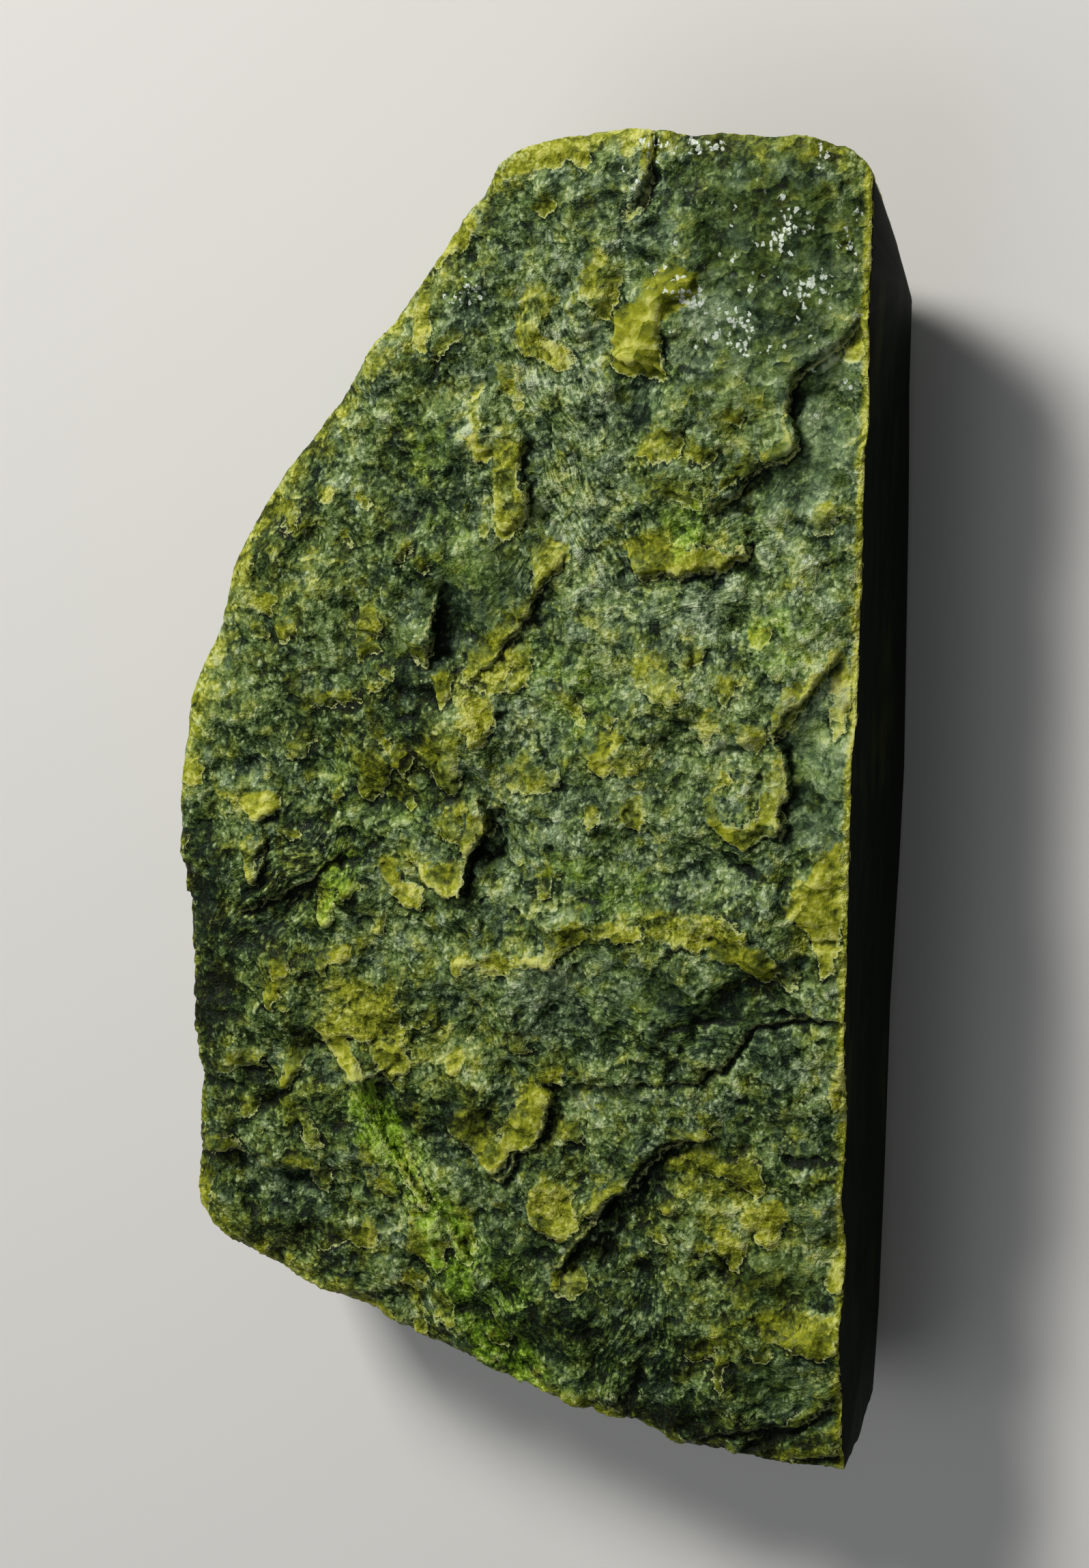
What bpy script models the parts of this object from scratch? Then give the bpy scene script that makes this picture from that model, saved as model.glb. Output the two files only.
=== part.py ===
"""A raw nephrite jade slab, lying on its sawn back.

It is one stone. The front (+Z) is a natural break with flaky ledges, plates, pits and cracks. The side at +X and
the back (-Z) are sawn. The end at +Y slopes away below, and the other edges are broken. The origin is under the
middle of the slab, on the surface that it lies on.
"""

import bpy
import bmesh
import numpy as np
from mathutils import Vector, noise

MM = 0.001

# Driving dimensions, in millimetres.
WIDTH = 90.0
LENGTH = 170.0
THICKNESS = 29.0
SWELL = 3.0
SWELL_MIDDLE_Y = -5.0
SWELL_REACH = 34.0

# What the saw takes off the rough block beyond the sawn side and below the sawn back.
SAW_WASTE = 3.0
BLOCK_SIDE = WIDTH / 2 + SAW_WASTE

# The broken edge seen from the front, anticlockwise from the upper to the lower corner of the sawn side. A straight
# line beyond the sawn side closes it.
BROKEN_EDGE = [
    (BLOCK_SIDE, 73), (45, 79), (43.5, 81.7), (40, 83.5), (30, 84), (18.3, 84.2), (12, 84.6), (4, 82.3), (0, 80.3),
    (-5, 75), (-8.2, 70), (-15, 60), (-20, 52.8), (-28.7, 41.8), (-35, 31.5), (-36.8, 28), (-38, 21),
    (-42.3, 14), (-43.2, 6), (-44.8, -7), (-43.5, -20), (-43.8, -28), (-42.8, -45), (-43.7, -50),
    (-44, -58), (-42, -62), (-35, -66.3), (-25, -69), (-20, -71), (-15, -72.5), (-5, -76.5), (5, -79.7),
    (17, -82.6), (20.5, -83.2), (23.5, -84.7), (27, -84.3), (35, -85), (BLOCK_SIDE, -85),
]

# How the walls run in below the front: the +Y end slopes, and the others are nearly upright and rough.
END_SLOPE = 0.62
END_SLOPE_FROM_Y = 30.0
WALL_TAPER = 3.2
WALL_BULGE = 1.4
WALL_ROUGHNESS = 1.7
WALL_LUMP_SIZE = 9.0
WALL_REACH = 8.0

# The front rolls off towards its broken edges.
EDGE_ROLL = 2.6
EDGE_ROLL_REACH = 4.5

# The back is chipped away along the sawn side. Each pair is a place along Y and the chip's height there, and the
# chip is so many times as wide as it is high.
CHIP_HEIGHTS = [(-85, 8.8), (-70, 6.2), (-49, 5.0), (-28, 4.6), (-9, 1.4), (3, 0.1), (20, 1.2), (40, 2.4), (62, 4.0)]
CHIP_WIDTH_RATIO = 2.3
CHIP_RAGGEDNESS = 3.5
CHIP_LUMP_SIZE = 7.0
CHIP_ROUGHNESS = 1.3

# Ledges: a line of points with the high side to the left of its direction, then how far the high side rises and the
# low side drops at the line, and how far each reaches from it.
LEDGES = [
    # Big raised plate in the upper right corner.
    ([(26, 39.5), (29, 41.5), (31, 44.5), (35.5, 46.5), (36.8, 48), (35.3, 51.5), (36, 55.8), (40, 59), (45, 64)],
     1.2, 1.9, 12, 10),
    # Lower lip of the same plate.
    ([(14, 34), (18, 31.5), (26, 32.5), (31, 35), (30, 39)], 0.9, 1.2, 6, 7),
    # Step that runs down from the notch in the top end.
    ([(15, 70), (18, 78), (18.5, 86)], 0.5, 0.8, 6, 6),
    # Plate beside the middle of the upper half.
    ([(1.5, 35), (3.8, 40), (2.5, 44), (3, 47), (-3, 49)], 0.9, 0.9, 5, 5),
    # Long slanting lip that falls away to the right.
    ([(-5, 15), (-4, 17), (0, 21), (3, 25), (5, 29), (9, 34)], 0.9, 1.1, 6, 6),
    # Flake that stands over the deepest pit of the upper half.
    ([(-10, 18), (-8.6, 21), (-9, 24), (-8, 28.5)], 1.2, 2.4, 5, 4),
    # Plate left of the middle, with its ragged lower edge.
    ([(-13, -6), (-10, -7), (-8, -9.5), (-4.2, -9.5), (-4, -6), (-1.5, -1.5), (-3, 4)], 1.1, 1.6, 7, 5),
    # Curved lip near the sawn side.
    ([(36, -1), (37, 2), (35.5, 4), (37, 6), (35, 14), (38, 17.5), (41, 21), (44, 25)], 0.9, 1.2, 6, 6),
    # Main crack line, where the broad shelf ends.
    ([(4, -36), (14, -33.5), (20, -33), (26, -32), (29, -30), (33, -24), (36, -23), (46, -21.3)], 0.8, 1.5, 8, 7),
    # Leaf-shaped plate left of the gash.
    ([(-9, -41), (-5, -45), (0, -49), (2, -45), (5, -43), (6.3, -38), (4, -33)], 1.0, 1.2, 7, 5),
    # Overhung upper wall of the gash.
    ([(6, -62), (8, -59), (10, -56), (12.5, -53), (15, -49), (18, -47), (22, -42), (25, -40), (30, -39)],
     0.7, 4.3, 6, 4.2),
    # Flake at the left edge, and the slanting layers below it.
    ([(-33, -13), (-31.8, -8), (-32.5, -3)], 0.9, 0.9, 4, 4),
    ([(-37, -17), (-35, -16), (-28, -12), (-19, -4.5)], 0.7, 1.5, 5, 4),
    # Bright lip of the yellow cluster low on the left.
    ([(-26, -29), (-25, -31), (-23, -34.5), (-20, -37), (-17, -36.5), (-14, -33)], 1.0, 1.2, 6, 5),
    # Edge ridge and the hollow under it.
    ([(-44, -50.5), (-40, -49.5), (-36, -50), (-30, -51.5), (-23, -50)], 0.9, 1.6, 4, 6),
    # Long slanting band down to the bottom edge.
    ([(-4, -64), (-8, -56), (-13, -50), (-19, -42)], 0.7, 0.9, 5, 5),
    # Parallel layers at the lower corner of the sawn side.
    ([(24, -83.5), (30, -81), (36, -80), (40, -78.5), (46, -72.5)], 0.3, 1.3, 5, 3),
]

# Ridges: a line of points, then the height of the crest and how far it reaches to its left and right.
RIDGES = [
    # Crest of the broad shelf across the slab.
    ([(-8, -21), (-4, -18.5), (4, -16.5), (7, -13), (14, -11), (30, -9.5), (36, -12), (38, -17)], 1.9, 3.0, 13.0),
    # Short upright ridges low on the left.
    ([(-30, -18), (-30.5, -24), (-31, -30)], 1.0, 2.5, 3.0),
    ([(-18, -7), (-21, -12), (-25, -19)], 0.9, 2.5, 2.5),
    ([(-9, 37), (-10, 35), (-12, 32.5), (-13, 30)], 0.8, 2.5, 2.5),
]

# Plates and lumps: the middle, half length, half width, turn in degrees, and height.
PLATES = [
    (17, 61, 9.5, 3.6, 62, 1.5),
    (-5.5, 16.5, 2.4, 1.8, 60, 1.0),
    (-32.3, -0.5, 3.4, 2.3, 10, 1.2),
    (-15, 4.8, 4.6, 2.6, 30, 0.9),
    (-13, -9.5, 3.8, 3.0, 50, 0.8),
    (31.5, 4, 5.8, 4.2, 10, 0.9),
    (14, 10, 3.0, 2.4, 60, 0.8),
    (21, 19.5, 4.6, 3.2, 15, 0.7),
    (7, -50.5, 5.6, 3.8, 70, 0.9),
    (-29.5, -36, 3.8, 2.6, 50, 0.9),
    (33.5, -51, 6.0, 3.4, 60, 0.8),
    (-13, 24.5, 5.6, 3.0, 80, 0.9),
    (-17, -28, 7.0, 4.2, 120, 0.8),
    (40, -64, 4.2, 2.8, 20, 0.6),
]

# Pits and hollows: the middle, half length, half width, turn in degrees, and depth.
HOLLOWS = [
    (17.5, 52.5, 4.4, 2.4, 60, 2.2),
    (-6.5, 23.5, 4.6, 2.2, 95, 2.4),
    (-0.5, -4.5, 5.0, 2.4, 70, 1.8),
    (40, 8, 9.0, 3.4, 85, 1.4),
    (40, 48, 9.0, 4.2, 75, 0.9),
    (-30, -54.5, 7.0, 3.2, 0, 1.7),
    (15, -54.5, 5.4, 2.8, 55, 1.5),
    (33, -19.5, 5.2, 3.0, 60, 1.2),
    (9, 44, 12.0, 4.5, 75, 0.9),
    (-31, -17, 6.0, 2.0, 40, 1.4),
    (6.5, 62, 2.8, 1.6, 80, 1.2),
]

# Grooves: a line of points, then the depth and half width.
GROOVES = [
    ([(34, -23.5), (30, -22.5), (27, -24), (19, -27)], 1.0, 0.9),
    ([(46, -40.3), (38, -42), (34, -41.3)], 0.9, 0.8),
    ([(21, -69), (18, -76), (16, -84)], 1.2, 1.3),
    ([(-44, -41.5), (-38, -41), (-34, -41.5)], 1.1, 1.0),
    ([(-6.5, 59), (-8.5, 57), (-10, 54), (-9.8, 51)], 1.0, 0.9),
]

# The natural break's own unevenness: the size of its lumps and how far they stand out.
LUMP_SIZE = 11.0
LUMP_HEIGHT = 1.5
LAYER_COUNT = 3.0

LEDGE_WIDTH = 0.7
LINE_TAPER = 4.0

VOXEL = 1.25
KEPT_FACES = 0.145


def smooth_step(low, high, values):
    """Rise from 0 at low to 1 at high, with soft ends."""
    share = np.clip((values - low) / (high - low), 0.0, 1.0)
    return share * share * (3.0 - 2.0 * share)


def line_fit(places, points):
    """Fit places to a line of points.

    Gives the distance from the line, positive to the left of its direction, the run along the line to the nearest
    point, the line's length, and that nearest point.
    """
    corners = np.array(points, dtype=float)
    best = np.full(len(places), np.inf)
    distance = np.zeros(len(places))
    run = np.zeros(len(places))
    nearest = np.zeros((len(places), 2))
    walked = 0.0
    for start, end in zip(corners[:-1], corners[1:]):
        step = end - start
        length = np.hypot(*step)
        direction = step / length
        offset = places - start
        along = np.clip(offset @ direction, 0.0, length)
        foot = start + along[:, None] * direction
        gap = np.hypot(*(places - foot).T)
        across = direction[0] * offset[:, 1] - direction[1] * offset[:, 0]
        # Where two segments meet, the one that the place lies more squarely off decides the side.
        score = gap - 1e-4 * np.abs(across)
        closer = score < best
        best[closer] = score[closer]
        distance[closer] = np.copysign(gap, across)[closer]
        run[closer] = walked + along[closer]
        nearest[closer] = foot[closer]
        walked += length
    return distance, run, walked, nearest


def end_taper(run, length):
    """Fade a line's effect out over its two ends."""
    reach = min(LINE_TAPER, length / 3.0)
    return smooth_step(0.0, reach, run) * smooth_step(0.0, reach, length - run)


def oval_fit(places, x, y, half_length, half_width, turn):
    """Distance from an oval's middle, 1 on its edge."""
    angle = np.radians(turn)
    dx = places[:, 0] - x
    dy = places[:, 1] - y
    along = (dx * np.cos(angle) + dy * np.sin(angle)) / half_length
    across = (dy * np.cos(angle) - dx * np.sin(angle)) / half_width
    return np.hypot(along, across)


def lump_noise(places, size, seed):
    """Fractal noise of about -1 to 1 at each three-dimensional place."""
    shift = Vector((seed * 13.7, seed * 5.1, seed * 9.3))
    return np.array([noise.fractal(Vector(place) / size + shift, 0.9, 2.1, 3) for place in places])


def front_height(places):
    """Height of the natural front at each (x, y)."""
    x, y = places.T
    height = THICKNESS + SWELL * np.exp(-((y - SWELL_MIDDLE_Y) / SWELL_REACH) ** 2) * (0.75 + 0.25 * x / (WIDTH / 2))

    for points, rise, drop, reach_high, reach_low in LEDGES:
        distance, run, length, _ = line_fit(places, points)
        above = smooth_step(-LEDGE_WIDTH, LEDGE_WIDTH, distance)
        high = rise * np.exp(-np.maximum(distance, 0.0) / reach_high)
        low = drop * np.exp(-np.maximum(-distance, 0.0) / reach_low)
        height += end_taper(run, length) * (above * high - (1.0 - above) * low)

    for points, crest, reach_left, reach_right in RIDGES:
        distance, run, length, _ = line_fit(places, points)
        reach = np.where(distance > 0.0, reach_left, reach_right)
        height += end_taper(run, length) * crest * np.exp(-np.abs(distance) / reach)

    for *oval, rise in PLATES:
        height += rise * smooth_step(1.2, 0.8, oval_fit(places, *oval))

    for *oval, depth in HOLLOWS:
        height -= depth * np.exp(-oval_fit(places, *oval) ** 2)

    for points, depth, half_width in GROOVES:
        distance, run, length, _ = line_fit(places, points)
        height -= end_taper(run, length) * depth * np.exp(-(distance / half_width) ** 2)

    # Lumps in layers: the noise is rounded towards steps, as a flaky break is.
    flat = np.column_stack([x, y, np.zeros_like(x)])
    lumps = lump_noise(flat, LUMP_SIZE, 1)
    level = lumps * LAYER_COUNT
    layered = (np.floor(level) + smooth_step(0.55, 1.0, level - np.floor(level))) / LAYER_COUNT
    height += LUMP_HEIGHT * (0.5 * lumps + 0.5 * layered)
    return height


def chip_height(places):
    """Height of the chipped back along the sawn side, and below the sawn back elsewhere."""
    x, y = places.T
    along, heights = np.array(CHIP_HEIGHTS, dtype=float).T
    edge_height = np.interp(y, along, heights)
    lumps = lump_noise(np.column_stack([x, y, np.zeros_like(x)]), CHIP_LUMP_SIZE, 3)
    width = CHIP_WIDTH_RATIO * (edge_height + SAW_WASTE) + CHIP_RAGGEDNESS * lumps
    share = np.clip((x - WIDTH / 2 + width) / width, 0.0, 1.0)
    roughness = CHIP_ROUGHNESS * lumps * np.sin(np.pi * share)
    return (edge_height + SAW_WASTE) * share ** 1.3 - SAW_WASTE + roughness


def shape_block(places):
    """Turn the plain extruded block's places, in millimetres, into the rough stone's."""
    x, y, z = places.T
    flat = places[:, :2].copy()
    share_up = np.clip((z + SAW_WASTE) / (THICKNESS + SAW_WASTE), 0.0, 1.0)

    # The broken walls: how far each place is inside the edge, and which way the edge lies from it.
    inside, _, _, nearest = line_fit(flat, BROKEN_EDGE)
    outward = (nearest - flat) * np.sign(inside)[:, None]
    outward /= np.maximum(np.abs(inside), 1e-6)[:, None]
    inside = np.maximum(inside, 0.0)
    below_front = np.sqrt(1.0 - share_up ** 4)
    lumps = WALL_ROUGHNESS * (lump_noise(places, WALL_LUMP_SIZE, 2) - 0.4) * below_front
    inset = WALL_TAPER * (1.0 - share_up) - WALL_BULGE * np.sin(np.pi * share_up) - lumps
    pulled_in = -outward * (inset * np.exp(-inside / WALL_REACH))[:, None]

    top = front_height(flat) - EDGE_ROLL * np.exp(-inside / EDGE_ROLL_REACH)
    bottom = chip_height(flat)
    shaped = np.column_stack([flat + pulled_in, bottom + (top - bottom) * share_up])

    # The +Y end slopes back below the front.
    slope = END_SLOPE * (THICKNESS - np.minimum(shaped[:, 2], THICKNESS))
    shaped[:, 1] -= slope * smooth_step(END_SLOPE_FROM_Y, LENGTH / 2 - 3.0, y)
    return shaped


def fit_ends(values, low, high):
    """Stretch the values on each side of zero so that their ends reach low and high."""
    return np.where(values < 0.0, values * low / values.min(), values * high / values.max())


def mesh_places(mesh):
    """The mesh's vertices in millimetres."""
    flat = np.empty(len(mesh.vertices) * 3)
    mesh.vertices.foreach_get("co", flat)
    return flat.reshape(-1, 3) / MM


def move_vertices(mesh, places):
    mesh.vertices.foreach_set("co", (places * MM).ravel())
    mesh.update()


def applied(source, name):
    """The evaluated mesh of an object as a new mesh, in place of the object."""
    depsgraph = bpy.context.evaluated_depsgraph_get()
    mesh = bpy.data.meshes.new_from_object(source.evaluated_get(depsgraph))
    mesh.name = name
    bpy.data.objects.remove(source)
    return mesh


def plain_block(collection):
    """The block inside the broken edge, with room for the saw at its side and back."""
    curve = bpy.data.curves.new("outline", "CURVE")
    curve.dimensions = "2D"
    curve.fill_mode = "BOTH"
    curve.extrude = (THICKNESS + SAW_WASTE) / 2 * MM
    spline = curve.splines.new("POLY")
    spline.points.add(len(BROKEN_EDGE) - 1)
    for point, (x, y) in zip(spline.points, BROKEN_EDGE):
        point.co = (x * MM, y * MM, 0.0, 1.0)
    spline.use_cyclic_u = True
    drawn = bpy.data.objects.new("outline", curve)
    collection.objects.link(drawn)
    mesh = applied(drawn, "block")
    solid = bmesh.new()
    solid.from_mesh(mesh)
    bmesh.ops.remove_doubles(solid, verts=solid.verts, dist=0.0001)
    bmesh.ops.translate(solid, verts=solid.verts, vec=(0.0, 0.0, (THICKNESS - SAW_WASTE) / 2 * MM))
    solid.to_mesh(mesh)
    solid.free()
    block = bpy.data.objects.new("block", mesh)
    collection.objects.link(block)
    return block


def saw_cut(name, collection, stone, low, high):
    """A box that takes away what is beyond a sawn face."""
    size = [(b - a) * MM for a, b in zip(low, high)]
    middle = [(a + b) / 2 * MM for a, b in zip(low, high)]
    mesh = bpy.data.meshes.new(name)
    box = bmesh.new()
    bmesh.ops.create_cube(box, size=1.0)
    bmesh.ops.scale(box, verts=box.verts, vec=size)
    box.to_mesh(mesh)
    box.free()
    cutter = bpy.data.objects.new(name, mesh)
    cutter.location = middle
    cutter.hide_render = True
    cutter.display_type = "WIRE"
    collection.objects.link(cutter)
    cut = stone.modifiers.new(name, "BOOLEAN")
    cut.operation = "DIFFERENCE"
    cut.solver = "EXACT"
    cut.object = cutter


def nephrite():
    material = bpy.data.materials.new("nephrite")
    material.use_nodes = True
    shader = material.node_tree.nodes["Principled BSDF"]
    shader.inputs["Base Color"].default_value = (0.09, 0.13, 0.035, 1.0)
    shader.inputs["Roughness"].default_value = 0.55
    shader.inputs["Metallic"].default_value = 0.0
    return material


def build():
    for leftover in list(bpy.data.objects):
        bpy.data.objects.remove(leftover)
    parts = bpy.data.collections.new("jade_slab")
    cutters = bpy.data.collections.new("cutters")
    bpy.context.scene.collection.children.link(parts)
    bpy.context.scene.collection.children.link(cutters)

    # The rough stone, on an even net of faces.
    block = plain_block(parts)
    net = block.modifiers.new("net", "REMESH")
    net.mode = "VOXEL"
    net.voxel_size = VOXEL * MM
    rough = applied(block, "rough")
    move_vertices(rough, shape_block(mesh_places(rough)))

    # Faces are kept where the relief needs them.
    worked = bpy.data.objects.new("rough", rough)
    parts.objects.link(worked)
    thin = worked.modifiers.new("thin", "DECIMATE")
    thin.ratio = KEPT_FACES
    mesh = applied(worked, "jade_slab")
    places = mesh_places(mesh)
    places[:, 0] = fit_ends(places[:, 0], -WIDTH / 2, BLOCK_SIDE)
    places[:, 1] = fit_ends(places[:, 1], -LENGTH / 2, LENGTH / 2)
    move_vertices(mesh, places)

    stone = bpy.data.objects.new("jade_slab", mesh)
    stone.data.materials.append(nephrite())
    parts.objects.link(stone)
    reach = LENGTH
    half_width = WIDTH / 2
    saw_cut("side_saw", cutters, stone, (half_width, -reach, -reach), (half_width + reach, reach, reach))
    saw_cut("back_saw", cutters, stone, (-reach, -reach, -reach), (reach, reach, 0.0))


build()
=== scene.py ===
import itertools
import math

import bmesh
import bpy
import numpy as np
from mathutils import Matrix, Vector, noise


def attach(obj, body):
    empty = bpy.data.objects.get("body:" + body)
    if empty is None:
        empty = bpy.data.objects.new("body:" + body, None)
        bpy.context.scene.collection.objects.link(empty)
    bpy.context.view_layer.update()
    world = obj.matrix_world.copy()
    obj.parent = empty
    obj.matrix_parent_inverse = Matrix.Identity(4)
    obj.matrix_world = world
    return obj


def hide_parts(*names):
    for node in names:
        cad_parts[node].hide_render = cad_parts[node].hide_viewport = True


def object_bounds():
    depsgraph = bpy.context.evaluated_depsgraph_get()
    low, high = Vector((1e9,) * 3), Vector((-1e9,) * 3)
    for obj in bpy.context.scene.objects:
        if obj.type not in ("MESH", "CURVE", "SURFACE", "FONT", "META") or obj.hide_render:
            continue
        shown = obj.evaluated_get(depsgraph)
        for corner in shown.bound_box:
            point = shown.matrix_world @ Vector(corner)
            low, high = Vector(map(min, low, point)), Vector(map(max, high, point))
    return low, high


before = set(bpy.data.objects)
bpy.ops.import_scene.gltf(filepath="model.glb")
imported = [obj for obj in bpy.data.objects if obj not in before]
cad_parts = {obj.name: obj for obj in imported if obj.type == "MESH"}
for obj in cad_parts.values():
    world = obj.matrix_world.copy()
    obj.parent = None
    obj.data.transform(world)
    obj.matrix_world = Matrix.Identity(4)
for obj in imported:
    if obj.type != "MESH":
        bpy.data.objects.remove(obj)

cad_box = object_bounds()
MM = 0.001


# ------------------------------------------------------------------------------------------------
# The table top and the light.
# A plain pale top that the slab lies on, one soft lamp beyond its upper left, and a weak even fill,
# so that the light rakes over the break and leaves the sawn side in shade. The camera looks down on
# the front.
# ------------------------------------------------------------------------------------------------

TABLE_SIZE = 3.0
TABLE_COLOUR = (0.62, 0.61, 0.59, 1.0)
TABLE_ROUGHNESS = 0.8

table_mesh = bpy.data.meshes.new("table_top")
sheet = bmesh.new()
bmesh.ops.create_grid(sheet, x_segments=1, y_segments=1, size=TABLE_SIZE / 2)
sheet.to_mesh(table_mesh)
sheet.free()
table = bpy.data.objects.new("table_top", table_mesh)
bpy.context.collection.objects.link(table)
table_paint = bpy.data.materials.new("table_paint")
table_paint.use_nodes = True
table_shader = table_paint.node_tree.nodes["Principled BSDF"]
table_shader.inputs["Base Color"].default_value = TABLE_COLOUR
table_shader.inputs["Roughness"].default_value = TABLE_ROUGHNESS
table_mesh.materials.append(table_paint)

LAMP_AIM = (0.0, 0.0, 0.02)
KEY_PLACE = (-0.48, 0.80, 0.68)
KEY_SIZE = 0.26
KEY_POWER = 17.0
KEY_COLOUR = (1.0, 0.98, 0.94)
FILL_PLACE = (-0.30, -0.20, 0.75)
FILL_SIZE = 0.6
FILL_POWER = 1.4
FILL_COLOUR = (0.95, 0.98, 1.0)
SKY_COLOUR = (0.92, 0.96, 1.0, 1.0)
SKY_STRENGTH = 0.12


def soft_lamp(name, place, size, power, colour):
    """A square area lamp at a place, turned to the slab."""
    data = bpy.data.lights.new(name, "AREA")
    data.shape = "SQUARE"
    data.size = size
    data.energy = power
    data.color = colour
    lamp = bpy.data.objects.new(name, data)
    lamp.location = place
    lamp.rotation_euler = (Vector(LAMP_AIM) - Vector(place)).to_track_quat("-Z", "Y").to_euler()
    bpy.context.collection.objects.link(lamp)


soft_lamp("key_lamp", KEY_PLACE, KEY_SIZE, KEY_POWER, KEY_COLOUR)
soft_lamp("fill_lamp", FILL_PLACE, FILL_SIZE, FILL_POWER, FILL_COLOUR)

sky = bpy.data.worlds.new("studio")
sky.use_nodes = True
sky_shader = sky.node_tree.nodes["Background"]
sky_shader.inputs["Color"].default_value = SKY_COLOUR
sky_shader.inputs["Strength"].default_value = SKY_STRENGTH
bpy.context.scene.world = sky
bpy.context.scene.view_settings.view_transform = "Standard"

IMAGE_HEIGHT_PX = 2299
FOCAL_LENGTH_PX = 4800
SENSOR_WIDTH_MM = 36.0
CAMERA_PLACE = (0.12771, 0.11236, 0.40215)
CAMERA_TILT = -15.33
CAMERA_TURN = 18.13
NEAREST_SEEN = 0.01

camera_data = bpy.data.cameras.new("camera")
camera_data.sensor_width = SENSOR_WIDTH_MM
camera_data.lens = SENSOR_WIDTH_MM * FOCAL_LENGTH_PX / IMAGE_HEIGHT_PX
camera_data.clip_start = NEAREST_SEEN
camera = bpy.data.objects.new("camera", camera_data)
camera.location = CAMERA_PLACE
camera.rotation_euler = (math.radians(CAMERA_TILT), math.radians(CAMERA_TURN), 0.0)
bpy.context.collection.objects.link(camera)
bpy.context.scene.camera = camera


# ------------------------------------------------------------------------------------------------
# The block.
# The slab was broken out along its top, left and bottom and then sawn along its right side and its
# back. This is the plain block inside those edges, on an even net of small faces that the break is
# then worked into.
# ------------------------------------------------------------------------------------------------

WIDTH = 90.0
LENGTH = 170.0
THICKNESS = 29.0
NET_SIZE = 0.4
EDGE_ROUNDS = 2
WELD_DISTANCE = 0.0001

# The broken edge seen from the front, in millimetres, from the upper to the lower corner of the
# sawn side.
EDGE_CORNERS = [
    (48, 73), (45, 79), (43.5, 81.7), (40, 83.5), (30, 84), (18.3, 84.2), (12, 84.6), (4, 82.3),
    (0, 80.3), (-5, 75), (-8.2, 70), (-15, 60), (-20, 52.8), (-28.7, 41.8), (-35, 31.5),
    (-36.8, 28), (-38, 21), (-42.3, 14), (-43.2, 6), (-44.8, -7), (-43.5, -20), (-43.8, -28),
    (-42.8, -45), (-43.7, -50), (-44, -58), (-42, -62), (-35, -66.3), (-25, -69), (-20, -71),
    (-15, -72.5), (-5, -76.5), (5, -79.7), (17, -82.6), (20.5, -83.2), (23.5, -84.7), (27, -84.3),
    (35, -85), (48, -85),
]


def rounded(corners, rounds):
    """A line with its corners cut off over and over, each a quarter of the way along its sides."""
    for _ in range(rounds):
        cut = [corners[0]]
        for (start_x, start_y), (end_x, end_y) in zip(corners[:-1], corners[1:]):
            step_x, step_y = (end_x - start_x) / 4.0, (end_y - start_y) / 4.0
            cut += [(start_x + step_x, start_y + step_y), (end_x - step_x, end_y - step_y)]
        corners = [*cut, corners[-1]]
    return corners


BROKEN_EDGE = rounded(EDGE_CORNERS, EDGE_ROUNDS)


def applied(source, name):
    """The evaluated mesh of an object, in place of the object."""
    depsgraph = bpy.context.evaluated_depsgraph_get()
    mesh = bpy.data.meshes.new_from_object(source.evaluated_get(depsgraph))
    mesh.name = name
    bpy.data.objects.remove(source)
    return mesh


def linked(name, data):
    """A new object for some data."""
    made = bpy.data.objects.new(name, data)
    bpy.context.collection.objects.link(made)
    return made


block_line = bpy.data.curves.new("block_line", "CURVE")
block_line.dimensions = "2D"
block_line.fill_mode = "BOTH"
block_line.extrude = THICKNESS / 2 * MM
block_spline = block_line.splines.new("POLY")
block_spline.points.add(len(BROKEN_EDGE) - 1)
for block_point, (edge_x, edge_y) in zip(block_spline.points, BROKEN_EDGE):
    block_point.co = (min(edge_x, WIDTH / 2) * MM, edge_y * MM, 0.0, 1.0)
block_spline.use_cyclic_u = True
block_mesh = applied(linked("block_line", block_line), "block")
solid = bmesh.new()
solid.from_mesh(block_mesh)
bmesh.ops.remove_doubles(solid, verts=solid.verts, dist=WELD_DISTANCE)
bmesh.ops.translate(solid, verts=solid.verts, vec=(0.0, 0.0, THICKNESS / 2 * MM))
solid.to_mesh(block_mesh)
solid.free()
block = linked("block", block_mesh)
net = block.modifiers.new("net", "REMESH")
net.mode = "VOXEL"
net.voxel_size = NET_SIZE * MM
rough_mesh = applied(block, "rough")


def mesh_places(mesh):
    """A mesh's vertices, in millimetres."""
    flat = np.empty(len(mesh.vertices) * 3)
    mesh.vertices.foreach_get("co", flat)
    return flat.reshape(-1, 3) / MM


def move_vertices(mesh, places):
    """Put a mesh's vertices at places in millimetres."""
    mesh.vertices.foreach_set("co", (places * MM).ravel())
    mesh.update()


# ------------------------------------------------------------------------------------------------
# The natural break.
# Nephrite is a felt of fine fibres, so it doesn't split cleanly: it tears in flakes, with ragged
# lips that stand over dark hollows. Every form is drawn in millimetres on the front, and its height
# is added to the block's face.
# ------------------------------------------------------------------------------------------------

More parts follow.
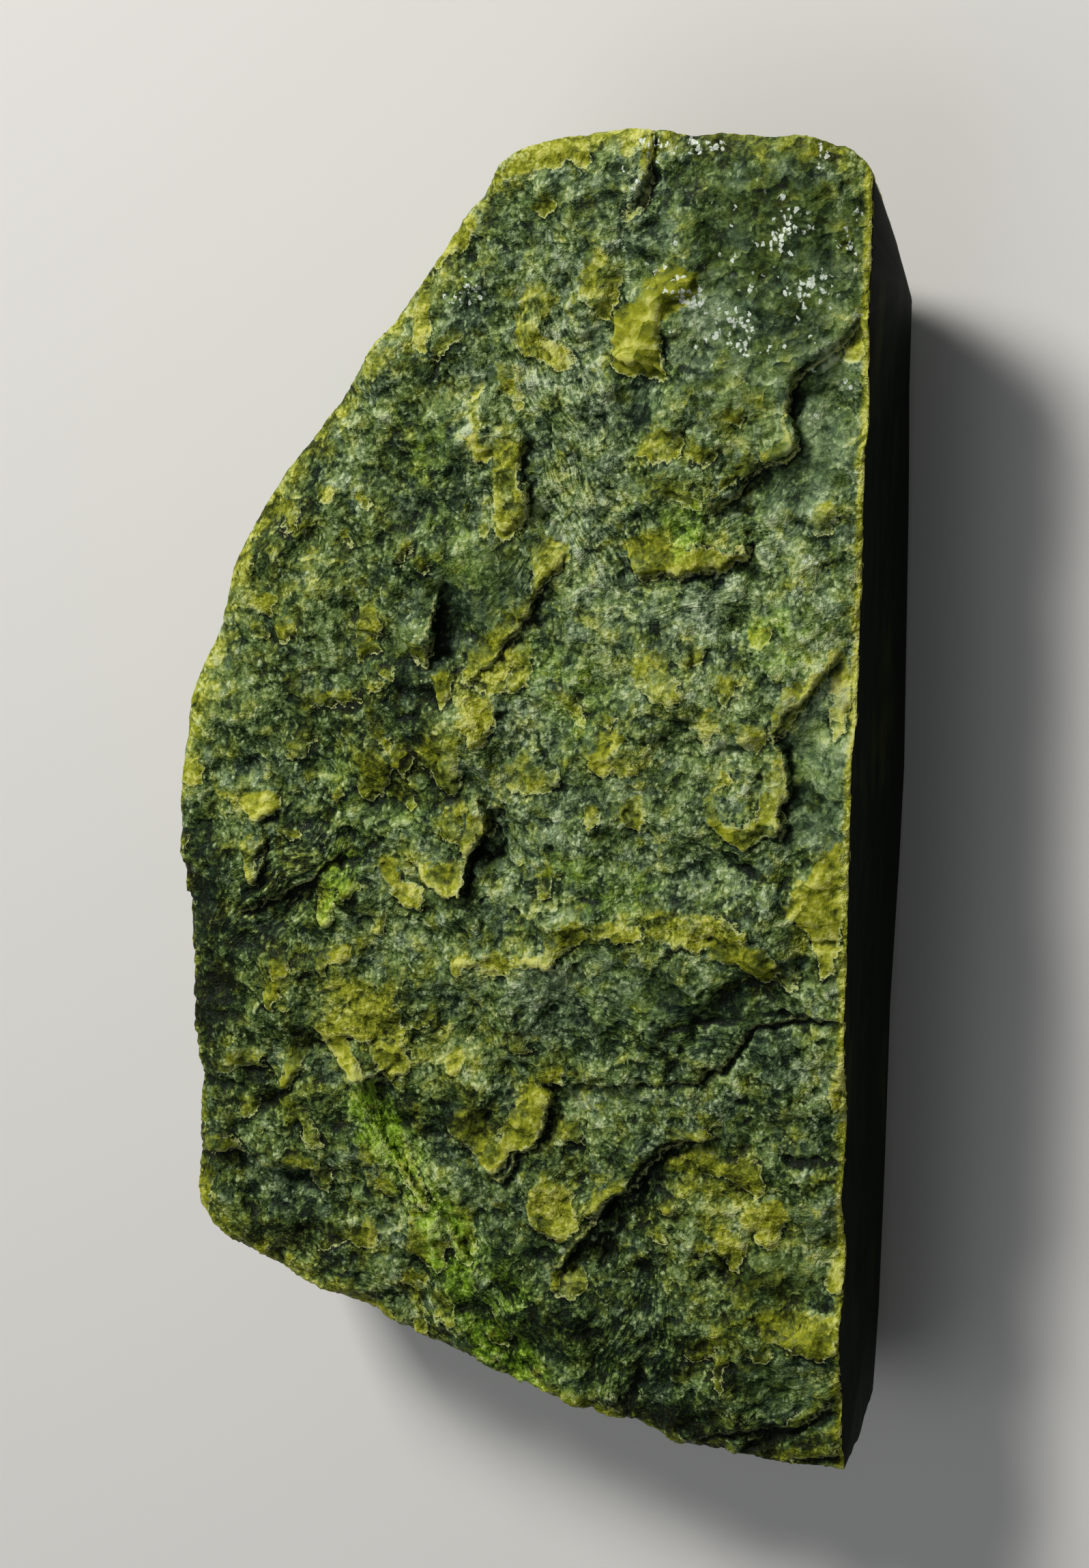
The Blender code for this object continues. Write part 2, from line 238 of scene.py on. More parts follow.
# Ledges: a line with the high side to the left of its direction, how far the high side rises and
# the low side drops at the line, and how far each reaches from it.
LEDGES = [
    # Big raised plate in the upper right corner.
    ([(26, 39.5), (29, 41.5), (30, 43), (31, 44.5), (33, 45.5), (35.5, 46.5), (36.8, 48), (36, 50),
     (35.3, 51.5), (36, 55.8), (38, 57.5), (40, 59), (45, 64)], 1.2, 1.3, 12, 10),
    # Lower lip of the same plate.
    ([(14, 34), (16, 33), (18, 31.5), (22, 32), (26, 32.5), (29, 33.5), (31, 35), (30.5, 37),
     (30, 39)], 0.9, 1.2, 6, 7),
    # Step that runs down from the notch in the top end.
    ([(15, 70), (15, 72), (18, 78), (18.5, 86)], 0.5, 0.8, 6, 6),
    # Plate beside the middle of the upper half.
    ([(1.5, 35), (3.8, 40), (2.3, 44), (3, 47), (-3, 49)], 0.9, 0.9, 5, 5),
    # Long slanting lip that falls away to the right.
    ([(-5, 15), (-4, 17), (0, 21), (3, 25), (5, 29), (9, 34)], 0.9, 1.1, 6, 6),
    # Flake that stands over the deepest pit of the upper half.
    ([(-10, 18), (-9.5, 19), (-8.6, 21), (-9, 24), (-8, 28.5)], 1.2, 1.7, 5, 4),
    # Plate left of the middle, with its ragged lower edge.
    ([(-13, -6), (-10, -7), (-8, -9.5), (-6, -10), (-4.2, -9.5), (-4, -6), (-1.5, -1.5), (-3, 4)],
     1.1, 1.6, 7, 5),
    # Curved lip near the sawn side.
    ([(36, -1), (37, 2), (35.5, 4), (37, 6), (36.5, 10), (35, 14), (38, 17.5), (41, 21), (44, 25)],
     0.9, 1.2, 6, 6),
    # Main crack line, where the broad shelf ends.
    ([(4, -36), (6, -35), (14, -33.5), (20, -33), (26, -32), (29, -30), (31, -27), (33, -24),
     (36, -23), (40, -22), (46, -21.3)], 0.6, 0.9, 8, 7),
    # Leaf-shaped plate left of the gash.
    ([(-9, -41), (-5, -45), (0, -49), (2, -45), (5, -43), (6, -40), (6.5, -37), (4, -33)], 1.0, 1.2,
     7, 5),
    # Overhung upper wall of the gash.
    ([(6, -62), (8, -59), (10, -56), (12.5, -53), (15, -49), (18, -47), (20, -44), (22, -42),
     (25, -40), (30, -39)], 0.7, 3.6, 6, 4.2),
    # Flake at the left edge, and the slanting layers below it.
    ([(-33, -13), (-31.8, -8), (-32.5, -3)], 0.9, 0.9, 4, 4),
    ([(-37, -17), (-35, -16), (-28, -12), (-19, -4.5)], 0.7, 1.5, 5, 4),
    # Bright lip of the yellow cluster low on the left.
    ([(-26, -29), (-25, -31), (-23, -34.5), (-20, -37), (-17, -36.5), (-14, -33)], 1.0, 1.2, 6, 5),
    # Edge ridge and the hollow under it.
    ([(-44, -50.5), (-40, -49.5), (-36, -50), (-30, -51.5), (-23, -50)], 0.9, 1.6, 4, 6),
    # Long slanting band down to the bottom edge.
    ([(-4, -64), (-8, -56), (-13, -50), (-19, -42)], 0.7, 0.9, 5, 5),
    # Parallel layers at the lower corner of the sawn side.
    ([(24, -83.5), (30, -81), (36, -80), (40, -78.5), (42, -76), (46, -72.5)], 0.3, 1.3, 5, 3),
]

# Ridges: a line, the height of the crest, and how far it reaches to its left and right.
RIDGES = [
    # Crest of the broad shelf across the slab.
    ([(-8, -21), (-4, -18.5), (0, -17), (4, -16.5), (6, -17.5), (7, -13), (9, -11.5), (14, -11),
     (20, -10), (30, -9.5), (36, -12), (38, -17)], 1.9, 3.0, 13.0),
    # Short upright ridges low on the left.
    ([(-30, -18), (-30.5, -24), (-31, -30)], 1.0, 2.5, 3.0),
    ([(-18, -7), (-21, -12), (-25, -19)], 0.9, 2.5, 2.5),
    ([(-9, 37), (-10, 35), (-12, 32.5), (-13, 30)], 0.8, 2.5, 2.5),
]

# Flakes: tone from 0, olive, to 1, yellow; height; how sugary it is, from 0 to 1; and outline.
FLAKES = [
    # Smooth bright horn near the top, and the patches around it.
    (1.0, 1.1, 0.0, [(13.8, 56.2), (16, 56), (17.8, 55.8), (20.8, 55.3), (20.6, 57.2), (19.8, 60.2),
     (20, 62), (21, 63.6), (23.8, 65), (24.6, 68), (23.2, 69.3), (21, 69.5), (19.3, 68.6),
     (17.2, 65.7), (14.5, 63.8), (13.8, 60)]),
    (0.7, 0.3, 0.5, [(2, 60), (3, 58.6), (6.5, 56.8), (9, 56.3), (8.8, 58.4), (5.3, 60.4),
     (4.5, 62), (7.1, 65), (5.2, 66.6), (3.8, 67.4), (2.5, 65.8), (1.8, 63.4)]),
    (0.45, 0.3, 0.5, [(9.7, 67.6), (9.9, 65.8), (11.6, 63.3), (13, 62.6), (14.3, 63.8), (14.9, 68),
     (13, 70.3), (12.2, 71.9), (11.4, 70)]),
    (0.75, 0.2, 0.6, [(-2, 77.8), (3, 79.6), (6, 80.5), (8.3, 81), (10, 80.2), (11.2, 81.2),
     (10.3, 82.9), (8.5, 84), (4, 82.4), (0, 80.5)]),
    (0.7, 0.3, 0.5, [(3.3, 75), (5.3, 74.6), (7, 75.2), (7.2, 76.1), (5.3, 76.4), (3.9, 75.8)]),
    (0.3, 0.3, 0.5, [(6.2, 71.6), (7.8, 71.4), (8, 72.8), (6.6, 73)]),
    (0.35, 0.3, 0.3, [(15, 74), (16.5, 74.6), (18.2, 78), (18.6, 82), (18, 84), (17.2, 81),
     (16.6, 77.6)]),
    (0.5, 0.2, 0.3, [(41.8, 58.8), (44, 58.8), (44.6, 65.5), (43.4, 64), (42.2, 61.9)]),
    (0.55, 0.5, 0.2, [(26.3, 41.2), (28, 42.8), (29.5, 44.2), (31.8, 46), (31.3, 47.4), (28.6, 46),
     (27.6, 43.6)]),
    (0.8, 0.5, 0.1, [(31.6, 46), (33.5, 46.5), (35.6, 46.6), (36.9, 48), (36.6, 49.8), (35.7, 51.4),
     (35.2, 49.5), (33, 47.8)]),
    (0.45, 0.6, 0.4, [(16, 48.4), (17.2, 47), (19, 46), (21.2, 46), (22.6, 47.4), (22.7, 49),
     (21.2, 50.2), (19.4, 50.5), (17.6, 48.8)]),
    (0.4, 0.5, 0.6, [(23.6, 47.6), (24.5, 46), (26, 45.8), (27, 46.8), (26.8, 48.4), (24.6, 48.8)]),
    (0.45, 0.4, 0.3, [(28.3, 51.7), (29.9, 50.4), (30.5, 51.7), (30.3, 53), (28.6, 53)]),
    (0.3, 0.6, 0.4, [(19.7, 44), (19.9, 42.5), (21.5, 41.4), (24.5, 40), (25.4, 41), (24.1, 42.5),
     (21.2, 44.8)]),
    (0.45, 0.2, 0.7, [(39.1, 42.1), (38.7, 40.2), (39.4, 38.3), (41, 38.3), (41.8, 40.6),
     (41, 42.5)]),
    (0.8, 0.6, 0.3, [(15, 36), (16, 34.4), (16.5, 32.8), (17.6, 31.6), (18.8, 31.3), (21, 32.2),
     (25.7, 32.9), (29.1, 33.3), (31.2, 35.2), (30.3, 36.2), (28.7, 35.6), (24.5, 36), (22, 35.8),
     (20.3, 37.5), (17.6, 36.6)]),
    # Upper left.
    (1.0, 0.6, 0.2, [(-4.2, 47.8), (-3.8, 46.3), (-3.4, 45), (-2, 44.8), (-0.9, 46.3), (-1.3, 48.1),
     (-2.8, 48.5)]),
    (0.1, 0.7, 0.9, [(-5, 50.5), (-4, 49), (-1.6, 48.4), (-2.4, 50.2), (-3.6, 51.6)]),
    (0.5, 0.5, 0.6, [(-3, 48.8), (-1, 44.5), (-1, 37), (0.5, 35.4), (2.3, 36), (2.8, 39),
     (3.7, 40.6), (2.2, 44), (3.2, 47.2), (0, 47.8)]),
    (0.8, 0.2, 0.6, [(-12, 58.6), (-10.4, 57.4), (-9.4, 60), (-9.8, 63.6), (-10.6, 65.4),
     (-12.2, 62)]),
    (0.65, 0.2, 0.7, [(-8.6, 67.6), (-6, 69.8), (-3.6, 73.4), (-4.6, 75), (-7, 71.6),
     (-9.6, 67.8)]),
    (0.35, 0.4, 0.5, [(-9.8, 57), (-8.2, 56.8), (-5.2, 60), (-6.4, 61), (-8.4, 59.4)]),
    (0.8, 0.4, 0.4, [(-4.2, 53), (-3.4, 52), (-2.4, 53), (-2.6, 54.4), (-3.8, 54.4)]),
    (0.45, 0.2, 0.6, [(-1.4, 55.4), (-0.4, 53.6), (1, 51.8), (2.2, 51), (2.4, 53), (1, 55.2),
     (-0.2, 57)]),
    (0.55, 0.2, 0.7, [(-24.8, 40.2), (-24, 38.4), (-22.4, 38.4), (-21.6, 40.4), (-23.2, 41)]),
    (0.6, 0.2, 0.7, [(-29.4, 38.4), (-28.8, 34.4), (-27.4, 34.6), (-27, 37.6), (-28, 39)]),
    (0.5, 0.2, 0.8, [(-19, 39.6), (-17.8, 38.4), (-16.6, 39), (-17.6, 40.4)]),
    (0.7, 0.2, 0.6, [(-21.6, 34.8), (-20.4, 32.4), (-19.6, 33.4), (-20.4, 35.6)]),
    (0.6, 0.3, 0.3, [(-2.8, 36.6), (-1.8, 35.6), (-1, 36.4), (-1.8, 37.4)]),
    (0.7, 0.3, 0.5, [(-34.8, 31), (-34, 29.6), (-33, 30), (-33.6, 31.8)]),
    (0.6, 0.4, 0.4, [(-10.9, 31.4), (-10.4, 30.2), (-9.2, 30.4), (-9.2, 32), (-10.2, 32.4)]),
    (0.15, 0.5, 0.8, [(-13.6, 32.2), (-13, 31.4), (-11.4, 33.4), (-10.6, 34.8), (-11.4, 35.2)]),
    (0.45, 0.4, 0.7, [(-33.6, 25), (-33, 23.9), (-30.7, 23.5), (-29.7, 26.2), (-31.1, 26.7),
     (-32.6, 26.2)]),
    (0.45, 0.5, 0.5, [(-30.1, 21.6), (-29.3, 20.4), (-28.2, 20.4), (-26.9, 21.4), (-26.7, 22.7),
     (-28, 23.8), (-29.6, 23.3)]),
    (0.25, 0.3, 0.8, [(-34, 22), (-33.6, 20.8), (-32, 20.2), (-31.3, 21.4), (-32.4, 22.7)]),
    (0.6, 0.6, 0.6, [(-19.3, 23.5), (-19, 22.3), (-17.2, 22.7), (-15.9, 22.2), (-15.1, 23.1),
     (-16.3, 25), (-16.8, 26.8), (-18, 26.4)]),
    (0.35, 0.5, 0.4, [(-19.2, 20.8), (-18.8, 18.2), (-17, 19.7), (-15.7, 20.2), (-15.9, 21.4),
     (-17.8, 22.2)]),
    (0.45, 0.5, 0.3, [(-11.9, 22.2), (-11.5, 20.6), (-9.9, 18.9), (-8.9, 20.8), (-9.1, 22),
     (-10.5, 22.4)]),
    (0.35, 0.4, 0.5, [(-16, 18), (-15, 16.8), (-13.4, 17.6), (-13.4, 18.8), (-14.5, 19.2)]),
    (0.55, 0.5, 0.7, [(-17.7, 15.6), (-17, 14.9), (-15.3, 15.3), (-15.2, 16.3), (-16.8, 16.5)]),
    (0.4, 0.4, 0.6, [(-25.6, 13.2), (-24.6, 12.2), (-22.5, 12.8), (-19.5, 13.2), (-18.3, 13.9),
     (-20, 15), (-23.5, 14.9)]),
    (1.0, 0.9, 0.3, [(-8.6, 16.8), (-8, 15.7), (-7.1, 13.8), (-6.2, 16), (-5.6, 17.2), (-6.2, 18.4),
     (-7.3, 18.9), (-8.6, 18)]),
    (0.85, 0.6, 0.8, [(-4.7, 12.3), (-3.8, 9.9), (-3.2, 9), (-1.8, 9.7), (-0.5, 10.7), (-0.1, 14),
     (-0.6, 15.6), (-2, 16), (-3.8, 15.9), (-4.5, 14.5)]),
    (0.5, 0.4, 0.6, [(-4.6, 18.5), (-4, 17), (-2.5, 16.4), (0.6, 16.4), (1.4, 20.6), (2.6, 24),
     (4, 26.6), (4.8, 28.6), (3, 28.8), (0, 25), (-3.2, 22.3)]),
    (0.75, 0.5, 0.6, [(0.8, 18), (1, 16.8), (2, 16.2), (3.4, 16.8), (4, 18.5), (3.6, 22), (3, 22.9),
     (2.2, 21.5)]),
    (0.7, 0.5, 0.4, [(2.8, 36), (4, 34), (4.5, 31.5), (4.3, 28), (5.2, 29), (6, 30.6), (7.3, 31.7),
     (8.6, 33), (8.7, 35.4), (6, 35.8)]),
    # Left middle.
    (0.85, 0.3, 0.5, [(-44.2, 0.6), (-42.5, 0.2), (-40.6, 0.8), (-40.4, 2.6), (-42.6, 4.3),
     (-44, 3)]),
    (0.45, 0.4, 0.7, [(-28.5, 6), (-28, 5), (-26.8, 5.3), (-25.5, 6.8), (-25.2, 8.5), (-26.6, 9.3),
     (-27.8, 8.3)]),
    (0.8, 0.6, 0.7, [(-19.2, 3.5), (-18.6, 1.6), (-17.2, 0.8), (-16, 1.2), (-15, 3.2), (-14, 4.7),
     (-15.3, 7.4), (-16.8, 7.9), (-19, 5.6)]),
    (0.6, 0.6, 0.3, [(-14, 5.5), (-12.6, 4.7), (-11.6, 5.8), (-11.2, 7), (-12.2, 8.5), (-13.3, 8.8),
     (-14, 7.5)]),
    (0.6, 0.6, 0.6, [(-16.5, 9.5), (-15.6, 8.6), (-14.9, 7.8), (-14.2, 8.6), (-14.6, 9.9),
     (-15.8, 10.5)]),
    (0.3, 0.5, 0.5, [(-11.2, 7), (-10, 5.5), (-8.5, 4.2), (-7, 2.8), (-5.5, 3.2), (-5, 5),
     (-4.9, 9), (-5.2, 10.7), (-9.5, 11.2), (-11, 10)]),
    (0.6, 0.5, 0.3, [(-12.8, 1), (-12.4, 0), (-11.5, 0.3), (-11.4, 1.6), (-12.3, 2)]),
    (0.6, 0.4, 0.7, [(-22.8, 1), (-22, 0.3), (-21, 1), (-21.2, 2.4), (-22.2, 2.3)]),
    (1.0, 0.8, 0.1, [(-35.5, -0.8), (-34.7, -2.3), (-33.6, -2.8), (-32, -2.4), (-30.2, -1.8),
     (-29.4, -0.8), (-29.6, 0.4), (-30.5, 1.2), (-32.5, 0.8), (-34.5, 0.3)]),
    (0.5, 0.3, 0.8, [(-38.6, -0.6), (-35.6, -1.2), (-35.2, 0), (-37, 0.8)]),
    (0.6, 0.4, 0.4, [(-28.9, -4.2), (-28, -5), (-26.9, -4.8), (-26.4, -3.6), (-27.6, -3.2)]),
    (0.55, 0.3, 0.4, [(-45, -7.5), (-44.2, -8.6), (-43.2, -7.5), (-43.5, -5.6), (-44.8, -5.6)]),
    (0.5, 0.6, 0.6, [(-35.2, -6.3), (-34.7, -8), (-34.2, -11.3), (-32.6, -11), (-32.3, -9.9),
     (-33.3, -9), (-32.5, -7.3), (-32.2, -5.8), (-33.3, -4.8), (-34.6, -5.1)]),
    (0.4, 0.6, 0.7, [(-25, -11), (-24.8, -16), (-23.7, -17), (-22.5, -15), (-21.8, -13), (-22, -11),
     (-20.3, -7.5), (-20.8, -6.3), (-22.5, -6.8), (-24, -8.5)]),
    (0.3, 0.5, 0.4, [(-21.5, -11), (-20.7, -12.5), (-19.5, -12), (-19, -10.5), (-19.8, -9.2),
     (-21, -9.3)]),
    (0.85, 0.8, 0.3, [(-5.2, -3.8), (-4.2, -5.2), (-3.4, -4.5), (-3, -2.9), (-1.6, -2.7),
     (-0.9, -1.8), (-1.5, 0), (-2.7, 0.6), (-4, 0)]),
    (0.85, 0.7, 0.3, [(-10.2, -7), (-9.4, -8.4), (-8, -9.6), (-6.6, -10.3), (-5.2, -10),
     (-4.3, -9.2), (-4.2, -7.2), (-4.6, -5.7), (-6, -5.2), (-7.5, -6.2), (-9, -6.2)]),
    (0.95, 0.7, 0.4, [(-16.7, -7), (-16.5, -8.6), (-14.6, -10.2), (-13.8, -11.9), (-12.5, -12.8),
     (-11, -12.7), (-10, -11.3), (-10.2, -10.3), (-13.4, -9.3), (-14.2, -6.5), (-15.2, -6.2)]),
    (0.5, 0.4, 0.7, [(-8.5, -0.5), (-7.5, -3), (-5.6, -3.6), (-4.2, -0.4), (-4.4, 2.6),
     (-6.8, 2.6)]),
    (0.25, 0.4, 0.8, [(-17.5, -13.5), (-17.4, -16), (-16.4, -17), (-15.3, -15), (-15.5, -12.5),
     (-17, -12)]),
    # Low on the left.
    (0.9, 0.5, 0.4, [(-23.2, -19.8), (-22.8, -21.6), (-21.5, -21.3), (-20.2, -20.4), (-20.3, -19),
     (-21, -18.4), (-22.2, -18.8)]),
    (0.6, 0.5, 0.5, [(-25.2, -20.2), (-25.2, -22), (-24.5, -23.2), (-23.3, -22), (-23.4, -20.3),
     (-24.3, -19.6)]),
    (0.85, 0.8, 0.2, [(-31.2, -23), (-30.7, -24.2), (-29.8, -24), (-29.1, -22.5), (-29.2, -21),
     (-30, -20.5), (-31, -21.5)]),
    (0.8, 0.7, 0.3, [(-32.2, -26), (-31.6, -28), (-30.4, -27.9), (-29.6, -26), (-30, -24.3),
     (-31.5, -24.3)]),
    (0.6, 0.4, 0.8, [(-26, -30.8), (-22, -31.8), (-18, -31.6), (-14.5, -31.8), (-13, -30),
     (-14.4, -28.6), (-13.8, -27.2), (-14.8, -23.3), (-16.4, -24), (-17.6, -24.8), (-18.8, -23.2),
     (-20.5, -22.6), (-22.6, -24), (-21.6, -26.5), (-22.5, -28.5)]),
    (0.9, 0.6, 0.1, [(-24, -28.8), (-23.8, -29.8), (-22.6, -29.8), (-21.8, -28.6), (-22, -27.3),
     (-23, -27.4)]),
    (1.0, 0.8, 0.1, [(-24.4, -31.8), (-24.2, -33), (-23.2, -34), (-22.4, -35.3), (-20.5, -36.3),
     (-19, -37.1), (-18, -36.2), (-18.6, -35.2), (-20.3, -33.2), (-21.5, -31.7), (-22.8, -31.1)]),
    (0.6, 0.6, 0.5, [(-18, -31.4), (-17.5, -33.8), (-15.5, -37), (-14, -35.6), (-12.4, -34.8),
     (-12.5, -33), (-14.5, -31.6)]),
    (0.55, 0.4, 0.7, [(-13, -29), (-11, -29.6), (-9.8, -28), (-8.8, -26.8), (-9.2, -26),
     (-10.8, -26.6)]),
    (0.6, 0.5, 0.5, [(-7.3, -32.5), (-7.2, -34), (-6.2, -34.9), (-5.2, -34.1), (-5, -32.4),
     (-5.4, -30.8), (-6.6, -31)]),
    (0.5, 0.8, 0.1, [(-29.2, -34.4), (-30.3, -37.2), (-31.1, -38.3), (-30.7, -39.4), (-29.9, -39.6),
     (-28.2, -37.3), (-27, -34.6), (-26.4, -32.4), (-27, -31.7), (-27.8, -33.6), (-29, -33.3)]),
    (0.4, 0.5, 0.4, [(-41.3, -37.5), (-40.3, -38.9), (-38.8, -38.5), (-37.5, -37.3), (-33.3, -37.2),
     (-33, -36), (-36.8, -35), (-39.4, -36.8)]),
    (0.3, 0.6, 0.2, [(-37.2, -41.8), (-37.2, -43.4), (-36.8, -44.9), (-35.6, -44.7), (-34.4, -43),
     (-33.8, -41.8), (-36.4, -40.9)]),
    (0.2, 0.4, 0.6, [(-31.3, -41), (-29.4, -42.6), (-28, -44.2), (-27.6, -46.4), (-26, -47.3),
     (-24.8, -46.8), (-25.4, -44.8), (-28.6, -40.8), (-30.2, -40.1)]),
    (0.55, 0.8, 0.3, [(-43.9, -50), (-42.4, -50.7), (-38.8, -49.9), (-37.4, -49), (-38, -47.7),
     (-42, -47.5), (-43.6, -48.4)]),
    (0.45, 0.2, 0.7, [(-44, -58), (-43, -59.6), (-42, -57), (-41.4, -54), (-42, -51.5),
     (-43.6, -52)]),
    (0.7, 0.5, 0.5, [(-32, -49.5), (-30.6, -50.2), (-28.8, -50.4), (-27.6, -51.4), (-27.4, -53),
     (-24.8, -54.1), (-24.2, -52.5), (-24.6, -51), (-26.8, -48.8), (-28.2, -48.1)]),
    (0.6, 0.5, 0.7, [(-17.8, -42), (-17.6, -44), (-20, -47.6), (-19.2, -49.4), (-16, -47.3),
     (-13.4, -50.4), (-11, -53.7), (-9.6, -53), (-12.6, -48), (-14.8, -42), (-16.4, -40.7),
     (-17.5, -40.4)]),
    (0.85, 0.5, 0.5, [(-17.4, -51), (-17, -52.5), (-15.6, -53.5), (-14.2, -52.6), (-15.2, -50.6),
     (-16.6, -50.1)]),
    (0.55, 0.4, 0.6, [(-13.6, -60), (-12, -62.5), (-9.4, -63.5), (-8.4, -62.4), (-8.6, -57.6),
     (-10.2, -54.3), (-12, -54.7), (-13.2, -56)]),
    (0.6, 0.4, 0.6, [(-7.4, -59), (-6.8, -61), (-5.4, -61.7), (-4.2, -60), (-4.8, -55.4),
     (-5.8, -53.3), (-6.8, -53.3), (-8, -54.8)]),
    (1.0, 0.4, 0.4, [(-21.6, -59.2), (-21.4, -60.7), (-20.4, -61.5), (-18.3, -61.1), (-18.1, -57.6),
     (-18.8, -56.3), (-19.6, -57)]),
    (0.35, 0.2, 0.8, [(-27, -61.5), (-26.4, -63), (-23.6, -61.3), (-22.2, -61), (-22, -59.3),
     (-25.5, -60.1)]),
    (0.85, 0.5, 0.4, [(-14.8, -64.5), (-14.4, -65.9), (-12.4, -65.3), (-11.2, -65.6),
     (-11.4, -64.1), (-13.8, -63.3)]),
    (0.45, 0.4, 0.8, [(-13.6, -66), (-13.4, -71), (-13, -73.1), (-12, -73.7), (-11.4, -72.4),
     (-12.6, -65.8)]),
    (0.25, 0.4, 0.4, [(-11.4, -65.4), (-11, -67), (-9.2, -70.3), (-8, -71.1), (-7.2, -70),
     (-8.6, -66.3)]),
    (0.35, 0.3, 0.7, [(-25.8, -67), (-25.2, -68.6), (-17.8, -71.4), (-19.4, -68.4), (-20.8, -65.5),
     (-22.4, -65.1)]),
    (0.75, 0.3, 0.5, [(-18.4, -69.4), (-17.8, -71.8), (-15.6, -72), (-15.6, -70.7), (-17, -69.3)]),
    (0.7, 0.3, 0.6, [(-36.8, -63.6), (-36.2, -64.7), (-34.6, -64.5), (-33.4, -63), (-34.2, -61.9),
     (-35.6, -62.3)]),
    (0.5, 0.3, 0.7, [(-32, -65), (-31.4, -66.1), (-30.2, -65.7), (-30, -64.3), (-31, -63.9)]),
    (0.55, 0.3, 0.8, [(-2.8, -70), (-2.8, -71.7), (-1.6, -72.7), (0, -72.5), (0.4, -70.4),
     (-0.6, -68.7), (-2, -68.5)]),
    # Middle and right.
    (0.4, 0.6, 0.4, [(16.3, 20), (17.2, 18.8), (18.6, 18.8), (18.9, 17.2), (22.8, 17), (24, 18),
     (22, 21.5), (21.3, 22.9), (20, 23.3), (18.5, 22.8)]),
    (0.35, 0.5, 0.5, [(22.9, 23), (23.4, 22), (24.8, 21.3), (26, 21.8), (26.4, 23), (25.6, 24.3),
     (24.6, 25.1), (23.5, 24.5)]),
    (0.35, 0.3, 0.7, [(7, 18.5), (7, 17), (9, 14), (10, 12.4), (11.2, 12.2), (11.3, 13.5),
     (8.2, 18.1)]),
    (0.45, 0.4, 0.5, [(13.2, 13.6), (15, 13.3), (15, 14.6), (13.8, 14.9)]),
    (1.0, 0.7, 0.2, [(11.4, 8.2), (11.6, 7.5), (12.6, 7.1), (14, 7.3), (14.8, 8.2), (14.9, 9.8),
     (16.8, 11.6), (16.4, 12.8), (15.3, 13), (14, 12.3), (12.8, 10.9)]),
    (0.4, 0.4, 0.6, [(15.2, 7.6), (16, 6.9), (17.4, 7.3), (18.4, 8.6), (17, 9.7), (15.6, 9.7)]),
    (0.9, 0.2, 0.4, [(31.2, 25.2), (32, 24.1), (33.2, 24), (34.4, 25), (34.6, 26.4), (33.2, 27.1),
     (31.8, 26.6)]),
    (0.4, 0.4, 0.6, [(27.4, 19), (28.4, 17.5), (29.6, 17.3), (30, 18.6), (30.9, 20), (29.7, 20.9),
     (28.6, 20.6)]),
    (0.35, 0.4, 0.8, [(25.8, 13.8), (26.2, 12.4), (27, 11.3), (27.6, 12.6), (28.6, 14.2),
     (28.5, 16), (27.2, 16.9), (26.2, 16)]),
    (0.6, 0.5, 0.6, [(29, 13.8), (31, 12.8), (31.6, 11.5), (33.2, 11.5), (34, 12.6), (34.4, 14.4),
     (33.8, 15.8), (32.4, 14.7), (31.2, 15.4), (29.8, 15.4)]),
    (0.6, 0.7, 0.2, [(35.6, 13), (37.8, 16.2), (39, 18.2), (40.4, 19.8), (41.6, 21), (41, 21.8),
     (39.5, 21.4), (36.5, 19.5), (35.3, 17.8), (34.8, 14)]),
    (0.7, 0.3, 0.4, [(41.2, 23.5), (41.6, 21), (42.2, 18.5), (41.5, 15.5), (42.4, 13.5),
     (43.6, 14.5), (43.9, 22.5), (42.8, 24.8), (41.8, 25)]),
    (0.6, 0.6, 0.3, [(26.8, 5), (27, 3), (28, 1.5), (29.2, 0.3), (31, -0.2), (33, 0.2), (36, 1.4),
     (36.6, 2.8), (35.8, 4.4), (34.2, 7.6), (33.6, 6), (34, 4.2), (33.2, 3), (31.5, 2.4),
     (29.6, 2.2), (28.4, 3.4), (27.6, 7)]),
    (0.35, 0.5, 0.8, [(27.2, 7.8), (28.6, 7), (30, 7.4), (29.6, 8.7), (28, 9.3)]),
    (0.4, 0.5, 0.6, [(34.5, 9), (34.8, 5), (35.6, 3.8), (36.2, 5), (37, 6.8), (36.6, 9), (36, 10.8),
     (35, 10.5)]),
    (0.35, 0.4, 0.5, [(0.8, 4.5), (2.4, 3.3), (6.4, 3.9), (8.2, 5.2), (8, 7.2), (6.4, 6.8),
     (3.6, 8.2), (2.2, 8.4), (1, 7)]),
    (0.6, 0.4, 0.6, [(15.6, 4), (15.8, 1.5), (17, 0), (18.6, 0.2), (19.2, 1.4), (18.4, 4.7),
     (16.8, 4.9)]),
    (0.7, 0.4, 0.4, [(11.4, 3.2), (11.6, 0.8), (12.4, -0.3), (13.2, 1), (13.2, 2.8), (12.4, 3.9)]),
    (1.0, 0.3, 0.2, [(37.4, -7.6), (38, -9.3), (39.4, -10), (40.6, -11.5), (42, -16.4),
     (43.2, -15.6), (44, -12), (44, 1), (43, 1), (42, -1), (39.2, -4.2), (38, -6)]),
    (0.55, 0.5, 0.4, [(-6.2, -19.3), (-6, -20.6), (-5.3, -21), (-4.6, -20), (-3.2, -19.3),
     (-2.3, -18.3), (-3, -17.4), (-4.5, -17.7), (-5.8, -18.2)]),
    (0.55, 0.4, 0.6, [(-2, -19.2), (-1, -20.5), (0.6, -20), (3.2, -18.3), (5.6, -18.6),
     (6.4, -17.8), (6, -16.5), (4, -17.2), (0, -16.7), (-1.5, -17.4)]),
